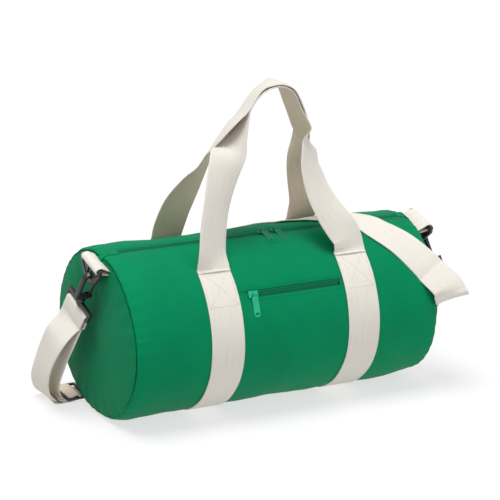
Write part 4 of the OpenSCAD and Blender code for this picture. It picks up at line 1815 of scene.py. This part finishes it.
@dataclass
class ZipTail:
    """End of the main zip's tape, turned down over the end seam and tacked."""

    skin: Skin
    angle: float = MAIN_ZIP
    width: float = 15 * MM
    thick: float = 1.0 * MM
    start: float = 24 * MM
    start_right: float = 17 * MM
    drop: float = 11 * MM
    steps: int = 7
    drop_steps: int = 5
    stand_off: tuple[float, float] = (1.2 * MM, 0.9 * MM)
    tacks: tuple[float, ...] = (0.3, 0.42, 0.86)
    tack_lift: float = 0.8 * MM
    tack_pitch: float = 3 * MM
    tack_half: float = 6 * MM

    def run(self, side: Side) -> list[Station]:
        """Run of one tail, along the barrel and down over the seam.

        Args:
            side: end of the bag.

        Returns:
            The run.
        """
        sign = side.value
        start = self.start if side is Side.LEFT else self.start_right
        out, up = self.stand_off
        run = []
        for index in range(self.steps):
            x = sign * (self.skin.half_l - start * (1 - index / self.steps))
            run.append(Station(self.skin.point(x, self.angle, self.thick), self.skin.outward(x, self.angle)))
        for index in range(1, self.drop_steps + 1):
            at = self.skin.end_point(sign, self.drop * index / self.drop_steps, self.angle)
            run.append(Station(at + Vector((sign * out, 0, up)), Vector((sign, 0, 0.5))))
        return smoothed(run, 3)

    def build(self, finishes: Finishes, sewing: Sewing) -> None:
        """Builds both tails and their tacks.

        Args:
            finishes: the bag's materials.
            sewing: the thread's stitches.
        """
        ends = (-self.tack_half, self.tack_half)
        for side in Side:
            strip = Strip(
                f"zip_tail_{side.word}", self.run(side), self.width, self.thick, wave=0.0, across=6
            )
            frames = strip.frames()
            made = strip.build(ROOT, finishes, (), "zip_tape")
            made.data.materials.clear()
            made.data.materials.append(finishes.body)
            for share in self.tacks:
                sewing.on_run(frames, frames[-1][3] * share, ends, self.tack_lift, self.tack_pitch)


@dataclass
class Strap:
    """The shoulder strap, its folds on the swivels and the tabs that carry the rings."""

    skin: Skin
    eye_y: float = -11.38 * MM
    eye_z: float = 204.64 * MM
    turn: tuple[float, float, float] = (28, 4, 11)
    bar_w: float = -52.3 * MM
    tail_w: float = -62.5 * MM
    layer: float = 3.7 * MM
    spread: float = 0.2 * MM
    lead: float = 4 * MM
    tail_run: float = 14 * MM
    glide_x: float = -251 * MM
    glide_y: float = 84 * MM
    lift: float = 1.1 * MM
    band_lift: float = 3.4 * MM
    band_reach: float = 60 * MM
    fold_tail: tuple[float, float] = (10 * MM, 5 * MM)
    tab_r: float = 4.2 * MM
    tab_fall: float = 0.35
    tab_rise: tuple[float, float] = (1.6, 1.2)
    tab_wave: float = 0.2 * MM
    fold_steps: int = 12
    tab_steps: int = 10

    def at_clip(self, across: float, along: float) -> Station:
        """Station beside the left clip.

        Args:
            across: distance across the clip, to the bag where it is above 0.
            along: distance along its stem, up from the ring's eye.

        Returns:
            The station.
        """
        turn = Matrix.Identity(3)
        for angle, axis in zip(reversed(self.turn), "ZYX"):
            turn = turn @ Matrix.Rotation(math.radians(angle), 3, axis)
        at = Vector((-RING_X, self.eye_y, self.eye_z)) + turn @ Vector((across, 0, along))
        return Station(at, turn @ Vector((-1, 0, 0)))

    def to_right(self, here: Station) -> Station:
        """The same station at the right clip."""
        at, face = here.at, here.face
        return Station(Vector((-at.x, 2 * self.eye_y - at.y, at.z)), Vector((-face.x, -face.y, face.z)))

    def on_floor(self, x: float, z: float, up: float = -1.0) -> Station:
        """Station of a layer that lies on the floor beside the tri-glide, in millimetres."""
        return station(self.glide_x + x * MM, self.glide_y, z * MM, (0, 0, up))

    def over_barrel(self) -> list[Station]:
        """Run of the strap that lies on the barrel.

        Returns:
            The run.
        """
        flat = [Station(Vector((x * MM, angle, 0)), Vector((0, 0, 1))) for x, angle in OVER_BARREL]
        run = []
        for here in smoothed(flat):
            x, angle = here.at.x, here.at.y
            turn = math.radians(angle)
            lift = self.lift + self.band_lift * bump_at(x, -self.skin.band_x, self.band_reach)
            way = Vector((0, -math.cos(turn), math.sin(turn)))
            run.append(Station(self.skin.point(x, angle, lift), way))
        return run

    def long_run(self) -> list[Station]:
        """Run from the right clip over the barrel to the floor behind.

        Returns:
            The run.
        """
        lay = self.over_barrel()
        *floor, last = (self.on_floor(x, z, 1.0) for x, z in LONG_FLOOR)
        start, *lead = (
            self.to_right(self.at_clip(-self.layer, self.tail_w - w)) for w in (0, self.lead, self.tail_run)
        )
        fold = smoothed([*lead, *(in_mm(numbers) for numbers in FOLD), lay[0]])
        land = smoothed([lay[-1], *(in_mm(numbers) for numbers in LANDING), *floor])
        return [start, *fold[:-1], *lay, *land[1:], last]

    def loop_run(
        self, layer: float, loop: Sequence[Sequence[float]], floor: Sequence[tuple[float, float]]
    ) -> list[Station]:
        """Run of one layer of the loop, from the left clip down to the tri-glide.

        Args:
            layer: distance of the layer from the clip's middle, below 0 for the outer one.
            loop: its stations down to the floor, in millimetres.
            floor: its places on the floor.

        Returns:
            The run.
        """
        spread = math.copysign(self.spread, layer)
        return [self.at_clip(layer, self.tail_w), *smoothed([
            self.at_clip(layer, self.tail_w - self.lead),
            self.at_clip(layer + spread, self.tail_w - self.tail_run),
            *(in_mm(numbers) for numbers in loop),
            *(self.on_floor(x, z) for x, z in floor),
        ])]

    def build(self, finishes: Finishes) -> None:
        """Builds the runs, the folds and the tabs.

        Args:
            finishes: the bag's materials.
        """
        outer = self.loop_run(-self.layer, OUTER_LOOP, OUTER_FLOOR)
        inner = self.loop_run(self.layer, INNER_LOOP, INNER_FLOOR)
        fold = "strap_fold_left_webbing"
        runs = {
            "long": (self.long_run(), Side.RIGHT, "draped", ["cloth_shell", "floor"]),
            "outer": (outer, Side.LEFT, "hung", [fold, "floor"]),
            "inner": (inner, Side.LEFT, "hung", [fold, "tri_glide_moulded"]),
        }
        for name, (run, side, held, rests_on) in runs.items():
            strip = Strip(f"strap_{name}_webbing", run)
            made = strip.build(ROOT, finishes, (f"strap_{name}",))
            strip.frames()[-1][3]
            bend_between(made)
        for side in Side:
            self.fold(side, finishes)
            self.tab(side, finishes)

    def fold(self, side: Side, finishes: Finishes) -> None:
        """Builds the strap's end that wraps the swivel's bar.

        Args:
            side: end of the bag.
            finishes: the bag's materials.
        """
        middle = self.at_clip(0, self.bar_w).at
        outward = (self.at_clip(-1 * MM, self.bar_w).at - middle).normalized()
        upward = (self.at_clip(0, self.bar_w + 1 * MM).at - middle).normalized()
        run = [
            *(self.at_clip(-self.layer, self.bar_w - w) for w in self.fold_tail),
            *arc(middle, outward, upward, self.layer, 0.0, self.fold_steps),
            *(
                Station(self.at_clip(self.layer, self.bar_w - w).at, -outward)
                for w in reversed(self.fold_tail)
            ),
        ]
        if side is Side.RIGHT:
            run = [self.to_right(here) for here in run]
        name = f"strap_fold_{side.word}"
        Strip(name + "_webbing", run, wave=0.0).build(f"swivel_{side.word}", finishes, (name,))

    def tab(self, side: Side, finishes: Finishes) -> None:
        """Builds the tab of webbing that holds the ring's bar and goes into the end seam.

        Args:
            side: end of the bag.
            finishes: the bag's materials.
        """
        bar = ring_bar(side)
        inward = Vector((-side.value, 0, 0))
        up = Matrix.Rotation(RING_LEAN, 3, "X") @ Vector((0, 0, 1))
        layers = []
        for way, rise in zip((1, -1), self.tab_rise):
            layer = []
            for reach, high in TAB_TAIL:
                height = way * high - reach * self.tab_fall + rise
                layer.append(Station(bar + inward * reach * MM + up * height * MM, up * way))
            layers.append(layer)
        upper, lower = layers
        bend = arc(bar, inward, up, self.tab_r, math.pi / 2, self.tab_steps)
        run = [*upper, *bend, *reversed(lower)]
        name = f"ring_tab_{side.word}"
        Strip(name + "_webbing", run, wave=self.tab_wave).build(ROOT, finishes, (name,))


@dataclass(frozen=True)
class Studio:
    """Floor, lights and the camera at the photograph's view."""

    place: tuple[float, float, float] = (-1.3895, -2.5445, 1.1028)
    right: tuple[float, float, float] = (0.8824, -0.4699, 0.0230)
    upward: tuple[float, float, float] = (0.1190, 0.2701, 0.9554)
    lens: float = 153.586
    clip_end: float = 60.0
    floor_half: float = 9.0
    air: float = 0.6

    def build(self) -> None:
        """Sets up the studio."""
        self.floor()
        self.world()
        self.sun("key_sun", toward=(-0.2, -0.05, 1.0), strength=3.1, spread=35.0)
        self.sun("front_sun", toward=(0.35, -1.0, 0.45), strength=0.5, spread=45.0)
        self.camera()
        bpy.context.scene.view_settings.view_transform = "Standard"

    def floor(self) -> None:
        """Makes the pale floor."""
        sheet = bmesh.new()
        bmesh.ops.create_grid(sheet, x_segments=1, y_segments=1, size=self.floor_half)
        data = bpy.data.meshes.new("floor")
        sheet.to_mesh(data)
        sheet.free()
        data.materials.append(PaperFloor().make())
        add_object("floor", data)

    def world(self) -> None:
        """Lights the air softly and shows white behind the object."""
        world = bpy.data.worlds.new("studio")
        world.use_nodes = True
        bpy.context.scene.world = world
        made = Nodes(world.node_tree)
        light = made.tree.nodes["Background"]
        made.feed(light.inputs["Color"], WHITE)
        made.feed(light.inputs["Strength"], self.air)
        seen = made.node("ShaderNodeBackground", Color=WHITE, Strength=1.0)
        rays = made.node("ShaderNodeLightPath").outputs
        shown = made.math("MAXIMUM", rays["Is Camera Ray"], rays["Is Transmission Ray"])
        mixed = made.node("ShaderNodeMixShader")
        for socket, value in zip(mixed.inputs, (shown, light.outputs[0], seen.outputs[0])):
            made.feed(socket, value)
        made.feed(made.tree.nodes["World Output"].inputs["Surface"], mixed.outputs[0])

    @staticmethod
    def sun(name: str, toward: Sequence[float], strength: float, spread: float) -> None:
        """Adds a soft sun, which lights the whole floor evenly.

        Args:
            name: name of the light.
            toward: direction to the light.
            strength: its strength.
            spread: how wide it looks, in degrees.
        """
        data = bpy.data.lights.new(name, "SUN")
        data.energy = strength
        data.angle = math.radians(spread)
        made = add_object(name, data)
        made.rotation_euler = (-Vector(toward)).to_track_quat("-Z", "Y").to_euler()

    def camera(self) -> None:
        """Stands the camera where the photograph was taken."""
        data = bpy.data.cameras.new("photo_camera")
        data.lens = self.lens
        data.clip_end = self.clip_end
        made = add_object("photo_camera", data)
        right, upward = Vector(self.right), Vector(self.upward)
        turn = Matrix((right, upward, right.cross(upward))).transposed()
        made.matrix_world = Matrix.Translation(self.place) @ turn.to_4x4()
        bpy.context.scene.camera = made


def write_size() -> None:
    """Updates the view layer.
    """
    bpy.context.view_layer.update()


def main() -> None:
    """Builds every sub-assembly in order."""
    logging.basicConfig(level=logging.INFO, format="%(name)s: %(message)s")
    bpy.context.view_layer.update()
    finishes = Finishes.make()
    skin = Skin()
    ClothShell(skin).build(finishes)
    Bindings(skin).build(finishes)
    SeamLines(skin).build(finishes)
    bands = Bands(skin)
    bands.build(finishes)
    pale = Sewing(skin, "foot_stitches")
    bands.sew(pale)
    pale.build(finishes.pale_thread, "webbing")
    clips = Clips()
    clips.build(finishes)
    zips = Zips(skin, clips)
    zips.build(finishes)
    green = Sewing(skin, "zip_stitches", 2.1 * MM, 0.45 * MM)
    zips.sew(green)
    ZipTail(skin).build(finishes, green)
    green.build(finishes.green_thread, "zip_tape")
    Handles(skin).build(finishes)
    Strap(skin).build(finishes)
    Studio().build()
    write_size()


if __name__ == "__main__":
    main()
